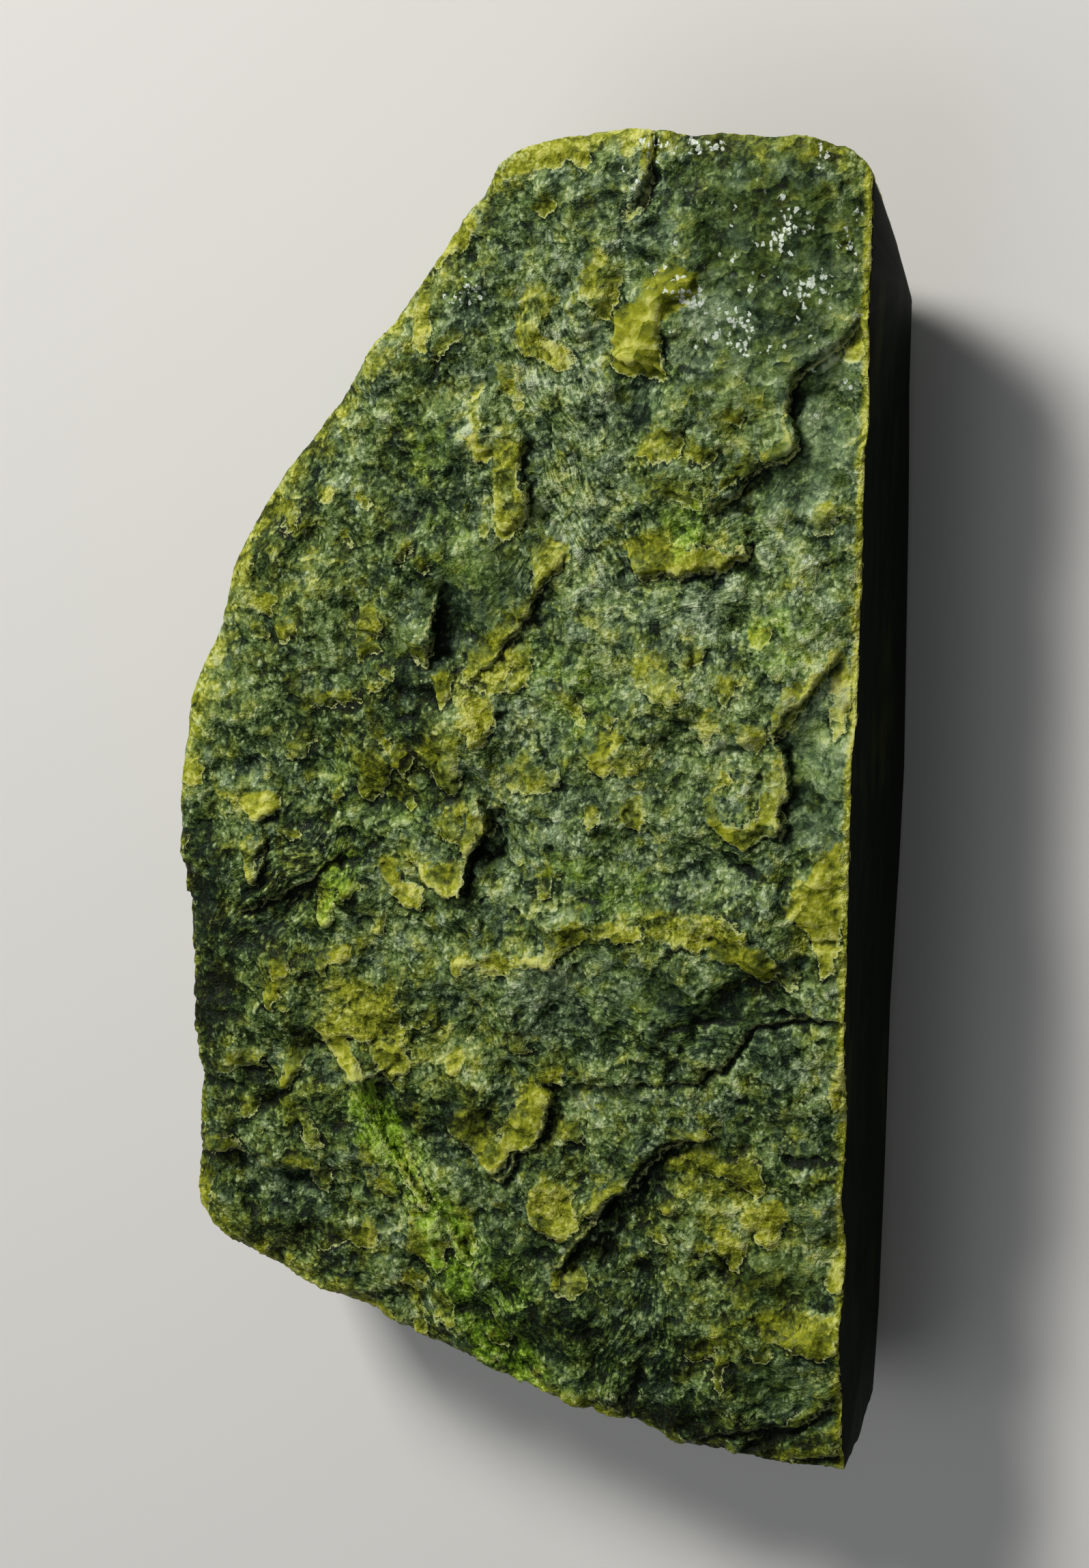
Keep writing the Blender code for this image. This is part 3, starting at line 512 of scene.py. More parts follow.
    (0.75, 0.5, 0.5, [(6.2, -18.7), (7.2, -18.2), (9.4, -15.6), (10.8, -14.6), (12, -13),
     (11.4, -11.3), (9.6, -11.7), (8.2, -12.5), (7, -13), (7.6, -14.2), (6.6, -15.6)]),
    (0.7, 0.5, 0.6, [(13, -12.2), (13.4, -13.7), (15, -13.4), (17.2, -13.7), (19.4, -13),
     (19.4, -11.1), (17.6, -12.1), (15, -10.8), (13.5, -11.1)]),
    (0.6, 0.5, 0.8, [(19, -10), (19.6, -12.2), (21, -13.1), (25.2, -13.7), (27.4, -13.6),
     (28.8, -12.2), (32, -12.2), (33.4, -11.4), (30.4, -9.1), (28.5, -8.9), (21, -9.5)]),
    (0.75, 0.5, 0.2, [(28, -13.4), (27.6, -14.6), (31, -15.1), (34, -17.1), (35.4, -17.3),
     (36.6, -15.8), (36.4, -14), (35.4, -12.5), (31, -11.8), (28.6, -12.1)]),
    (0.3, 0.4, 0.8, [(36.5, -16.6), (37.2, -18.5), (38.6, -17.7), (38.8, -16), (37.4, -15.5)]),
    (0.55, 0.4, 0.6, [(4.6, -8.6), (5.6, -10), (6.8, -9), (7, -7.6), (8, -6.6), (8, -4.8),
     (6.6, -4.7), (6.2, -6), (5, -6.5)]),
    (0.4, 0.4, 0.5, [(1.5, -29), (2, -30.6), (4, -30.1), (3.8, -28.6), (2.8, -26.9), (2, -27.1)]),
    (0.3, 0.8, 0.3, [(-7.8, -41.9), (-5, -44.1), (-2.8, -46.3), (-1, -47.5), (0, -46), (-0.5, -43),
     (-2, -40), (-3, -38), (-4.6, -39.3)]),
    (0.85, 0.9, 0.1, [(3, -34.9), (2.4, -37), (1.4, -39.4), (0, -42), (-0.8, -45), (-0.5, -47.4),
     (1, -44.7), (4, -42.7), (5.5, -41.6), (6.3, -38.4), (6.6, -36.9), (6.2, -35.3), (4.4, -33.7),
     (3.6, -33.5)]),
    (0.5, 0.5, 0.4, [(5.6, -33.6), (6, -34.5), (7, -34.7), (8.4, -34.1), (8.6, -32.7), (8, -31.9),
     (6.6, -32.3)]),
    (0.75, 0.8, 0.6, [(3.4, -51.4), (3.6, -53.3), (4.4, -54.9), (5.8, -56.1), (7.6, -56.3),
     (9.2, -55.3), (10.2, -53.8), (10.4, -52), (9.6, -49.9), (7.4, -48.5), (5.8, -46.3), (5, -45.3),
     (5, -48), (4.2, -49.6)]),
    (0.35, 0.4, 0.7, [(7.2, -40.6), (7.6, -42.1), (10, -42.7), (10.6, -41.4), (9.8, -39.9),
     (8.4, -39.7)]),
    (0.7, 0.5, 0.2, [(13.8, -47), (14.2, -48.1), (15.2, -48.1), (16.4, -47.2), (17, -46),
     (16, -45.5), (14.8, -45.9)]),
    (1.0, 0.8, 0.1, [(11.4, -51.6), (12.2, -52.5), (13.2, -51), (14, -49.6), (15, -48), (14, -47.7),
     (12.8, -48.1), (12, -49.6)]),
    (0.5, 0.5, 0.3, [(21.8, -39.9), (23.4, -40), (25.5, -39.3), (28.1, -39.3), (27.8, -38.5),
     (25.5, -37.9), (23.5, -38.3)]),
    (0.6, 0.4, 0.7, [(21, -44), (21.2, -45.7), (22.6, -45.9), (24, -44.9), (30.2, -44.7),
     (33.4, -46.9), (34.6, -46.1), (34.4, -42.4), (33.4, -41.3), (29.6, -42.3), (26.4, -41.9),
     (25.4, -40.5), (23.6, -42.5)]),
    (0.55, 0.4, 0.5, [(21.4, -49.7), (22, -50.9), (23.2, -50.1), (23.2, -48.3), (22.2, -48.1)]),
    (0.85, 0.5, 0.7, [(31.8, -50.4), (32.2, -51.9), (33.4, -52.2), (33.8, -53.7), (35.2, -53.7),
     (36.4, -52.2), (38, -48.6), (37.4, -47.1), (35.6, -46.7), (32.6, -48.7)]),
    (0.7, 0.4, 0.6, [(28.4, -52.8), (28.6, -54.3), (29.6, -55.7), (30, -57.7), (31.2, -57.5),
     (32.6, -54), (31.2, -52.7), (30.6, -51.3), (29.4, -51.3)]),
    (0.25, 0.4, 0.7, [(25.4, -54.6), (26, -55.5), (27.6, -55.3), (28.4, -54.4), (27.6, -53.1),
     (26.2, -53.3)]),
    (0.4, 0.3, 0.7, [(19.6, -53), (20.2, -54.9), (21.6, -54.7), (21.8, -53), (20.6, -51.9)]),
    (0.55, 0.2, 0.5, [(43, -57), (43.2, -58.8), (44.6, -58.6), (44.8, -54), (44, -53.3),
     (43.2, -55)]),
    (0.6, 0.2, 0.5, [(42.8, -31), (43.2, -33.7), (44.8, -33), (44.8, -27), (43.4, -27)]),
    (0.7, 0.3, 0.4, [(6.4, -61), (6.4, -62.7), (7.6, -63.7), (9.2, -64.1), (10.6, -63),
     (11.2, -61.4), (10.6, -60.1), (7.2, -59.7)]),
    (0.5, 0.4, 0.6, [(24.4, -68.4), (24.2, -70.1), (25, -70.9), (26.6, -70.7), (28, -69.6),
     (28.8, -68), (28.6, -66.1), (25.6, -67.3)]),
    (0.4, 0.3, 0.8, [(28.8, -65.6), (28.8, -69.6), (28.4, -73), (29.2, -74.7), (30.4, -69),
     (30, -65.9)]),
    (0.95, 0.4, 0.4, [(34, -63.8), (35, -65.9), (38.4, -66.5), (42, -67.7), (43.6, -67.5),
     (44.6, -66), (44.8, -60.8), (41, -62.3), (37.4, -62.1), (34.4, -61.5)]),
    (0.55, 0.3, 0.6, [(33, -68.6), (33.8, -69.7), (35, -69.1), (36.4, -68), (36, -66.7),
     (34.4, -66.7)]),
    (0.4, 0.3, 0.4, [(37.2, -78.4), (38.2, -79.1), (39.6, -78.3), (41.4, -76.7), (44.4, -72),
     (43.6, -71.2), (39.6, -75.9)]),
    (0.35, 0.3, 0.5, [(36, -83.7), (39, -83.4), (41.6, -83.2), (44, -82.4), (44.6, -77.2),
     (41, -79.3), (37, -82)]),
    (0.6, 0.4, 0.5, [(20.8, -83.6), (21.6, -84.8), (22.8, -85), (24, -84.3), (24.4, -82.8),
     (23.4, -81.5), (22.2, -80.9)]),
    (0.5, 0.2, 0.6, [(5.4, -79.6), (7, -80.4), (12.6, -82), (15.2, -82.4), (15, -80.3), (9, -78.9),
     (6.6, -78.5)]),
]

# Pits and hollows: the middle, half length, half width, turn in degrees, and depth.
HOLLOWS = [
    (17.5, 52.5, 4.4, 2.4, 60, 2.2), (-6.5, 23.5, 4.6, 2.0, 95, 1.5),
    (-0.5, -4.5, 5.0, 2.4, 70, 1.8), (40, 8, 9.0, 3.4, 85, 1.4), (40, 48, 9.0, 4.2, 75, 0.9),
    (-30, -54.5, 7.0, 3.2, 0, 1.7), (15, -54.5, 5.4, 2.8, 55, 1.5), (33, -19.5, 5.2, 3.0, 60, 1.2),
    (9, 44, 12.0, 4.5, 75, 0.9), (-31, -17, 6.0, 2.0, 40, 1.4), (6.5, 62, 2.8, 1.6, 80, 1.2),
]

# Grooves and cracks: a line, its depth and half width.
GROOVES = [
    # Main crack: its two dark lines at the sawn side, where they part, and on down to the left.
    ([(46, -22.1), (43.5, -22), (40, -21.7), (35, -21.7), (33.3, -22.3), (33.3, -24)], 0.7, 0.45),
    ([(44, -22), (41, -22.2), (38, -22.7), (35.7, -23.2), (33.3, -23.8), (32.2, -25.5), (31, -27.8),
     (29.9, -29.5), (28.3, -30.8), (26.4, -31.8), (24, -32.4), (21, -32.8)], 0.8, 0.6),
    ([(33.4, -23.2), (30, -23.2), (26.4, -23.8), (23.3, -24.9), (19, -27)], 0.6, 0.6),
    ([(46, -40.4), (44.3, -40.7), (42.5, -41.1), (38.7, -41.3), (35, -41.2)], 0.7, 0.5),
    ([(38, -31.5), (38.1, -33), (38.6, -34.8)], 0.5, 0.4),
    ([(46, -58.5), (43.5, -60), (41, -61.8)], 0.7, 0.6),
    # Foot of the gash's overhung wall.
    ([(29, -39.4), (26.4, -39.8), (24.9, -39.8), (23.3, -40.4), (22, -41.3), (20.3, -43),
     (19, -44.2), (18.2, -45.6), (17, -47.3), (15.4, -48.7), (14.2, -49.7), (13, -51.9),
     (11, -53.5), (9.6, -55.5)], 1.2, 0.6),
    # Layers at the lower corner of the sawn side.
    ([(46, -71.8), (44.3, -73.2), (42.2, -75.5), (41, -77.4), (38.7, -79.4), (36.4, -80.1),
     (33.3, -80.7), (30.3, -81.5), (28, -81.8), (25, -82.8)], 0.9, 0.6),
    ([(46, -74.6), (44.3, -75.9), (42.6, -77.1), (40.3, -78.3), (38, -80.4), (35.3, -81.7),
     (32.6, -83.2), (30, -84.3)], 0.8, 0.5),
    ([(46, -82.8), (44.3, -83.2), (41, -83.8), (37, -85.2)], 0.7, 0.5),
    ([(19, -70), (18.4, -75), (17, -77.2), (16, -79.5), (16.4, -84)], 0.9, 0.8),
    ([(14.4, -71), (13.6, -74), (12.6, -77)], 0.4, 0.7),
    # Left side.
    ([(-44, -40.3), (-40, -40.5), (-35, -40)], 0.7, 0.7),
    ([(-27.2, -36.6), (-28.4, -38.2), (-30, -40), (-32.5, -42.4), (-34.8, -44.3)], 0.9, 0.55),
    ([(-20, -50), (-19.4, -51.6), (-18.5, -54.4)], 0.8, 0.5),
    ([(-7.4, -42.6), (-5.2, -44.6), (-3, -47), (-1.4, -48.6)], 0.5, 0.5),
    ([(-24.4, -49), (-24.6, -44), (-24.8, -40)], 0.4, 0.5),
    ([(-37, -16.4), (-33.5, -15), (-30, -13), (-26.6, -11.4), (-24, -10.6)], 1.0, 0.9),
    ([(-35.4, -13.4), (-33, -12), (-30.8, -10.2)], 0.7, 0.5),
    ([(-31.6, -5.8), (-32.6, -7.6), (-33, -8.6)], 0.9, 0.6),
    ([(-28.9, -1.6), (-30.5, -2.9), (-33, -3.4)], 0.8, 0.5),
    ([(-22, -8.6), (-20.5, -7.4), (-19, -7)], 0.6, 0.4),
    ([(-20.2, -5.7), (-18, -5.2), (-15.5, -4.8)], 0.5, 0.35),
    ([(-19.4, -6.9), (-17.5, -6.5), (-16, -6.2)], 0.5, 0.35),
    ([(-19.4, -8.3), (-18.2, -7.8), (-17, -7.5)], 0.5, 0.35),
    ([(-19.4, -11), (-19.8, -14), (-19.2, -16)], 0.8, 0.8),
    ([(-24.4, 12), (-22, 12.5), (-19.5, 12.9), (-17, 14), (-14.8, 14.3)], 0.5, 0.5),
    ([(-13.6, 11.2), (-11.6, 12.4), (-9.6, 13)], 0.6, 0.6),
    ([(-9.8, 35.2), (-11, 33.2), (-12.8, 31), (-13.2, 28.6)], 0.9, 0.6),
    ([(-4.4, 60.4), (-6.8, 58.2), (-8.4, 56.4), (-9.6, 54.4)], 0.8, 0.55),
    ([(-4.1, -9.6), (-3.9, -7), (-2.6, -4.4), (-0.9, -3)], 1.0, 0.7),
    # Right side.
    ([(29, -1), (31, -3), (34, -4.6), (37, -4.4), (39, -3.4)], 0.6, 0.7),
    ([(4.4, 13), (5, 11), (6, 8.6), (7.4, 7.4)], 0.5, 0.5),
    ([(30.6, -17.2), (32.6, -17.8), (34.6, -18.2)], 0.7, 0.8),
]

# Broad changes of colour: the middle, half length, half width, turn in degrees, and how much paler,
# how much warmer (less than 0 is blue-green), and how much fresher green it is there. Paler is
# partly the stone's own tone and partly painted light and shade on the broad forms.
COLOUR_ZONES = [
    # Left edge and upper left.
    (-42, 12, 8, 2.5, 85, 0.2, 0.5, 0.1), (-34, 0, 5, 2.5, 0, 0, 0.6, 0),
    (-30, 27, 14, 9, 60, 0, 0.35, 0), (-28, 42, 8, 3, 50, 0.1, 0.3, 0),
    (-12, 60, 10, 3, 55, 0.3, 0.3, 0), (-4, 63, 4, 3, 60, 0.1, -0.6, 0),
    (10, 82, 12, 3, 0, 0.4, 0.2, 0), (-9, 46, 6, 4, 120, 0, -0.1, 0.35),
    (-12, 47, 5, 3, 110, -0.1, 0.5, 0), (-16, 12, 7, 4, 0, -0.4, 0, 0),
    (-17, 24, 6, 4, 90, 0.1, 0.4, 0), (-6, 33, 6, 4, 130, -0.1, -0.2, 0.3),
    (-11, 20, 8, 6, 90, -0.7, 0, 0), (-11, 40, 6, 6, 0, -0.3, 0, 0),
    (-33, 10, 11, 6, 0, -0.4, 0.1, 0), (-15, 6, 11, 9, 0, -0.4, 0.1, 0),
    (-1, 29, 6, 6, 0, -0.35, 0, 0), (-1, 52, 7, 6, 0, 0.3, 0, 0), (-41, -9, 6, 4, 90, -0.8, 0, 0),
    (-36, 1, 9, 4, 0, 0.45, 0.1, 0), (-20, 30, 7, 6, 0, 0.22, 0, 0), (-8, 52, 6, 5, 0, 0.2, 0, 0),
    (0, 12, 9, 6, 90, 0.25, 0, 0), (0, 0, 6, 5, 0, 0.2, 0, 0),
    # Upper right: dark and smooth in the corner, pale on the ridge, yellow on the horn and its
    # lower lip.
    (31, 74, 14, 9, 0, -0.95, 0.25, 0), (18, 76, 6, 3, 90, -0.4, -0.8, 0),
    (28, 64, 5, 4, 0, 0.1, -0.6, 0), (38, 70, 4, 3, 0, 0, -0.5, 0),
    (18, 63, 8, 3, 60, -0.2, 0.6, 0), (27, 64, 6, 2.5, -50, 0.5, 0, 0),
    (5, 56, 8, 3, 60, 0.5, 0.1, 0), (-3.5, 49, 3, 2, 90, 0.9, 0.2, 0),
    (1, 41, 6, 3, 95, 0.1, 0.5, 0), (17, 52, 4, 2.5, 50, -0.3, -0.8, 0),
    (33, 44, 7, 3, 45, -0.4, -0.5, 0.1), (40, 50, 10, 4, 85, 0.3, -0.4, 0.1),
    (18, 43, 13, 5, 0, 0.25, 0.1, 0), (22, 36, 8, 2.5, 0, 0.2, 0.6, 0),
    (24, 39, 3.6, 2.6, 60, 0.2, 0, 0.9), (36, 26, 5, 4, 40, 0.1, 0, 0.6),
    (26, 29, 5, 2.5, 30, -0.1, -0.7, 0), (12, 30, 6, 3, 130, 0.3, 0, 0),
    (26, 46, 14, 8, 70, 0, 0.4, 0), (10, 53, 7, 4, 100, 0.5, 0, 0),
    (24, 54, 24, 26, 0, 0.15, -0.2, 0), (7, 66, 13, 9, 60, 0.5, 0, 0),
    (20, 67, 7, 5, 90, 0.55, 0, 0), (41, 60, 6, 4, 90, 1, 0, 0), (30, 57, 8, 6, 0, -0.35, 0.1, 0),
    (11, 34, 11, 6, 90, 0.55, 0, 0), (36, 29, 10, 7, 0, 0.65, 0, 0),
    # Middle.
    (41, 16, 12, 5, 90, 0.8, 0, 0), (35, 0, 11, 5, 0, -0.35, 0, 0),
    (24, 10, 24, 24, 0, 0.15, -0.2, 0), (8, 18, 8, 4, 120, 0.1, 0, 0.45),
    (-3, 17, 10, 4, 60, 0.2, 0.4, 0), (-7, 24, 6, 2.5, 90, -0.5, -0.6, 0),
    (-14, 6, 6, 4, 0, 0.2, 0.6, 0), (-10, -8, 5, 3, 150, 0.3, 0.6, 0),
    (-12, 0, 4, 3, 0, 0.1, 0, 0.3), (-1, -4, 5, 2.4, 70, -0.5, -0.4, 0),
    (40, 10, 10, 4, 85, -0.15, -0.4, 0.1), (33, 5, 7, 5, 60, 0.2, 0.3, 0),
    (20, 15, 14, 9, 0, 0.2, 0.3, 0), (14, 9, 4, 3, 30, 0.3, 0.5, 0),
    (14, -7, 8, 3, -15, 0.1, -0.1, 0.6), (41.5, -8, 8, 3.5, 90, 0.4, 0.8, 0),
    (-22, 2, 5, 6, 0, -0.2, 0.1, 0.2),
    # Broad shelf: its crest paler with painted light, and painted shade on the stretch under it.
    (21, -12, 15, 2.4, 3, 0.55, 0.45, 0), (1, -18, 8, 2.2, 12, 0.4, 0.2, 0),
    (18, -24, 18, 7, 0, -0.35, -0.15, 0.1), (6, -24, 5, 4, 0, 0, -0.7, 0),
    (32, -26, 6, 5, 60, -0.35, -0.4, 0.1), (33, -17, 5, 2.5, 0, -0.5, 0.2, 0),
    (10, -20, 7, 5, 0, 0.55, -0.1, 0), (5, -30, 9, 5, 0, 0.25, 0, 0),
    (31, -21, 7, 5, 0, -0.3, 0, 0), (41, -30, 6, 4, 90, 0.55, 0, 0),
    # Lower left.
    (-42, -20, 18, 5, 90, -0.75, 0.15, 0), (-20, -21, 7, 6, 0, 0.3, 0.1, 0),
    (-30, -25, 6, 7, 0, -0.4, 0.1, 0), (-10, -51, 5, 5, 0, -0.35, 0.1, 0),
    (-29, -42, 8, 7, 0, 0.35, 0.1, 0), (-23, -51, 8, 5, 0, 0.4, 0, 0),
    (-41, -50, 7, 4, 90, -0.52, 0, 0), (-30, -61, 9, 5, 0, -1, 0, 0),
    (-31, -49, 6, 4, 0, 0.3, 0, 0), (-26, -42, 20, 22, 0, -0.22, 0.15, 0),
    (-31, -12, 14, 8, 35, -0.6, 0.1, 0), (-39, -30, 8, 6, 90, -0.7, 0.2, 0),
    (-31, -25, 6, 3, 75, 0.2, 0.5, 0), (-22, -11, 7, 2, 65, 0.2, 0.1, 0.8),
    (-18, -28, 9, 6, 140, 0.35, 0.8, 0), (-22, -33, 5, 2.5, 130, 0.5, 0.9, 0),
    (-29, -53, 7, 4, 15, -0.55, -0.5, 0), (-30, -43, 7, 4, 0, -0.1, 0.1, 0.1),
    (-17, -44, 7, 3.4, 115, 0.8, 0.3, 1.3), (-9, -57, 9, 4.2, 118, 1, 0.3, 1.3),
    (-3, -70, 9, 4, 125, -0.45, 0.2, 1), (1, -64, 6, 3, 110, -0.3, 0, 0.8),
    (-1, -75, 9, 3, 160, -0.2, 0.1, 0.6), (-32, -64, 14, 3, -20, 0.2, 0.6, 0),
    (-6, -46, 6, 3, 120, -0.3, -0.4, 0), (-36, -60, 9, 4, -15, 0.2, 0.5, 0),
    (-7, -33, 7, 4, 40, 0.1, 0.3, 0),
    # Lower right.
    (-8, -41, 14, 6, 0, -0.75, 0.2, 0), (34, -40, 12, 5, 0, -0.35, 0, 0),
    (20, -49, 8, 6, 45, -0.75, 0, 0), (41, -50, 8, 4, 90, 0.75, 0.1, 0),
    (3, -63, 10, 7, 0, -0.5, 0, 0), (22, -79, 8, 4, 0, -0.4, 0.3, 0),
    (20, -71, 7, 6, 90, -0.5, 0, 0), (34, -72, 12, 6, 0, -0.35, 0, 0),
    (30, -81, 15, 4, 0, -1.2, 0.2, 0), (18, -64, 30, 20, 0, -0.25, 0.08, 0),
    (0, -37, 11, 8, 120, 0.1, 0.5, 0), (31, -52, 15, 11, 20, 0, 0.35, 0),
    (8, -52, 6, 4, 110, 0.4, 0.6, 0), (16, -51, 8, 2.6, 52, -0.5, -0.4, 0),
    (33, -50, 6, 4, 40, 1.15, 0.3, 0), (25, -48, 8, 3, 20, 0.3, 0.5, 0),
    (29, -44, 8, 4, 0, 0.1, 0.5, 0), (38, -65, 8, 2.8, -5, 0, 0.8, 0),
    (33, -59, 9, 3.5, 0, -0.2, 0.3, 0), (8, -72, 10, 6, 0, -0.55, 0, 0.25),
    (20, -69, 11, 4, 85, -0.5, -0.3, 0.1), (38, -75, 6, 4, 0, -0.3, -0.2, 0.2),
    (27, -69, 6, 3, 80, 0.1, 0.4, 0), (12, -80, 12, 2.5, -15, 0.2, 0.5, 0.1),
]

# Where the break is smooth: the middle, half length, half width, turn, and how smooth it is.
SMOOTH_ZONES = [
    (33, 68, 20, 13, 90, 0.8), (17, 52.5, 4.4, 3, 50, 0.7), (38, 47, 10, 5, 75, 0.7),
    (40, 9, 11, 5, 85, 0.6), (-2, 29, 8, 5, 60, 0.6), (18, 62, 7, 3, 70, 0.8),
    (36, -58, 6, 4, 10, 0.6), (37, -73, 6, 4, 0, 0.6), (24, -22, 14, 5, 0, 0.4),
]

LINE_TAPER = 4.0
TIE_BREAK = 1e-4
FAR_OUTSIDE = -9.0
FAR_OFF = 9.0


def smooth_step(low, high, values):
    """Rise from 0 at low to 1 at high, with soft ends."""
    share = np.clip((values - low) / (high - low), 0.0, 1.0)
    return share * share * (3.0 - 2.0 * share)


def line_fit(places, points):
    """Fit places to a line of points.

    Gives the distance from the line, positive to the left of its direction, the run along the line
    to the nearest point, the line's length, and that nearest point.
    """
    corners = np.array(points, dtype=float)
    best = np.full(len(places), np.inf)
    distance = np.zeros(len(places))
    run = np.zeros(len(places))
    nearest = np.zeros((len(places), 2))
    walked = 0.0
    for start, end in zip(corners[:-1], corners[1:]):
        step = end - start
        length = np.hypot(*step)
        direction = step / length
        offset = places - start
        along = np.clip(offset @ direction, 0.0, length)
        foot = start + along[:, None] * direction
        gap = np.hypot(*(places - foot).T)
        across = direction[0] * offset[:, 1] - direction[1] * offset[:, 0]
        # Where two segments meet, the one that the place lies more squarely off decides the side.
        score = gap - TIE_BREAK * np.abs(across)
        closer = score < best
        best[closer] = score[closer]
        distance[closer] = np.copysign(gap, across)[closer]
        run[closer] = walked + along[closer]
        nearest[closer] = foot[closer]
        walked += length
    return distance, run, walked, nearest


def end_taper(run, length):
    """Fade a line's effect out over its two ends."""
    reach = min(LINE_TAPER, length / 3.0)
    return smooth_step(0.0, reach, run) * smooth_step(0.0, reach, length - run)


def oval_fit(places, x, y, half_length, half_width, turn):
    """Distance from an oval's middle, 1 on its edge."""
    angle = math.radians(turn)
    dx = places[:, 0] - x
    dy = places[:, 1] - y
    along = (dx * math.cos(angle) + dy * math.sin(angle)) / half_length
    across = (dy * math.cos(angle) - dx * math.sin(angle)) / half_width
    return np.hypot(along, across)


# How far each seed moves the noise, and its roughness, the step between its sizes, and how many.
LUMP_SEED_STEPS = (13.7, 5.1, 9.3)
LUMP_FRACTAL = (0.9, 2.1, 3)


def lump_noise(places, size, seed):
    """Fractal noise of about -1 to 1 at each three-dimensional place."""
    shift = Vector([seed * step for step in LUMP_SEED_STEPS])
    return np.array([noise.fractal(Vector(place) / size + shift, *LUMP_FRACTAL) for place in places])


def on_plane(places):
    """Flat places as three-dimensional ones."""
    return np.column_stack([places, np.zeros(len(places))])


HASH_SIZE = 256
HASH_SEED = 5
HASH_STEPS = (31, 57)
SOFT_NOISE_GAIN = 1.5
hash_draw = np.random.default_rng(HASH_SEED)
HASH_TABLE = hash_draw.permutation(HASH_SIZE)
SLOPE_TABLE = hash_draw.normal(size=(HASH_SIZE, 2))
SLOPE_TABLE /= np.linalg.norm(SLOPE_TABLE, axis=1)[:, None]


def cell_hash(cells, seed):
    """A table row for each whole-numbered cell."""
    first = HASH_TABLE[(cells[:, 0] + seed * HASH_STEPS[0]) % HASH_SIZE]
    return HASH_TABLE[(first + cells[:, 1] + seed * HASH_STEPS[1]) % HASH_SIZE]


def soft_noise(places, size, seed, octaves=1):
    """Smooth noise of about -1 to 1 at flat places, from random slopes on a grid."""
    total = np.zeros(len(places))
    for octave in range(octaves):
        scaled = places * 2.0 ** octave / size
        cells = np.floor(scaled).astype(int)
        inside = scaled - cells
        fade = inside ** 3 * (inside * (inside * 6.0 - 15.0) + 10.0)
        for corner in itertools.product((0, 1), repeat=2):
            slopes = SLOPE_TABLE[cell_hash(cells + corner, seed + octave)]
            weight = np.prod(np.where(corner, fade, 1.0 - fade), axis=1)
            total += 0.5 ** octave * weight * ((inside - corner) * slopes).sum(axis=1)
    return total * SOFT_NOISE_GAIN


SECOND_SEED = 40


def ragged(places, size, reach, seed):
    """Flat places pushed about by noise, so that what is drawn on them gets a torn edge."""
    push_x = soft_noise(places, size, seed, 2)
    push_y = soft_noise(places, size, seed + SECOND_SEED, 2)
    return places + reach * np.column_stack([push_x, push_y])


# Where a zone fades in, as shares of the way from its middle to its edge.
ZONE_FADE = (1.35, 0.45)
COLOUR_FADE = (1.4, 0.3)
COLOUR_LIMIT = 1.5


def zone_field(places, zones):
    """The strongest of several soft oval zones at each place."""
    strongest = np.zeros(len(places))
    for *oval, strength in zones:
        shown = smooth_step(*ZONE_FADE, oval_fit(places, *oval))
        strongest = np.maximum(strongest, strength * shown)
    return strongest


def colour_field(places):
    """How much paler, warmer and fresher green the stone is at each place."""
    total = np.zeros((len(places), 3))
    for *oval, paler, warmer, fresher in COLOUR_ZONES:
        shown = smooth_step(*COLOUR_FADE, oval_fit(places, *oval))
        total += shown[:, None] * np.array([paler, warmer, fresher])
    return np.clip(total, -COLOUR_LIMIT, COLOUR_LIMIT)


# The sizes at which outlines are torn, how far each pushes them, and how much less on smooth stone.
TEARS = [(5.0, 0.3), (2.2, 0.45), (0.9, 0.3)]
TEAR_SEED = 1
TEAR_SEED_STEP = 7
SMOOTH_TEAR_LOSS = 0.75


def torn(places, smooth):
    """Flat places pushed about at three sizes, and less where the stone is smooth."""
    pushed = places
    share = (1.0 - SMOOTH_TEAR_LOSS * smooth)[:, None]
    for number, (size, reach) in enumerate(TEARS):
        moved = ragged(pushed, size, reach, TEAR_SEED + TEAR_SEED_STEP * number)
        pushed = pushed + (moved - pushed) * share
    return pushed


NEAR_OUTLINE = 1.5


def area_fit(places, outline):
    """How far inside a closed outline each place is, in millimetres, and less than 0 outside it."""
    corners = np.array(outline, dtype=float)
    low, high = corners.min(axis=0) - NEAR_OUTLINE, corners.max(axis=0) + NEAR_OUTLINE
    near = ((places > low) & (places < high)).all(axis=1)
    following = np.roll(corners, -1, axis=0)
    turn = np.sign((corners[:, 0] * following[:, 1] - corners[:, 1] * following[:, 0]).sum())
    inside = np.full(len(places), FAR_OUTSIDE)
    inside[near] = turn * line_fit(places[near], [*outline, outline[0]])[0]
    return inside


# Flakes lie tilted: low at the root, and highest at the lip that this direction points to.
TILT_DIRECTION = np.array([0.5, -0.87])
ROOT_RISE = 0.25
LIP_RISE = 0.75
FLAKE_EDGE = (-0.15, 0.2)


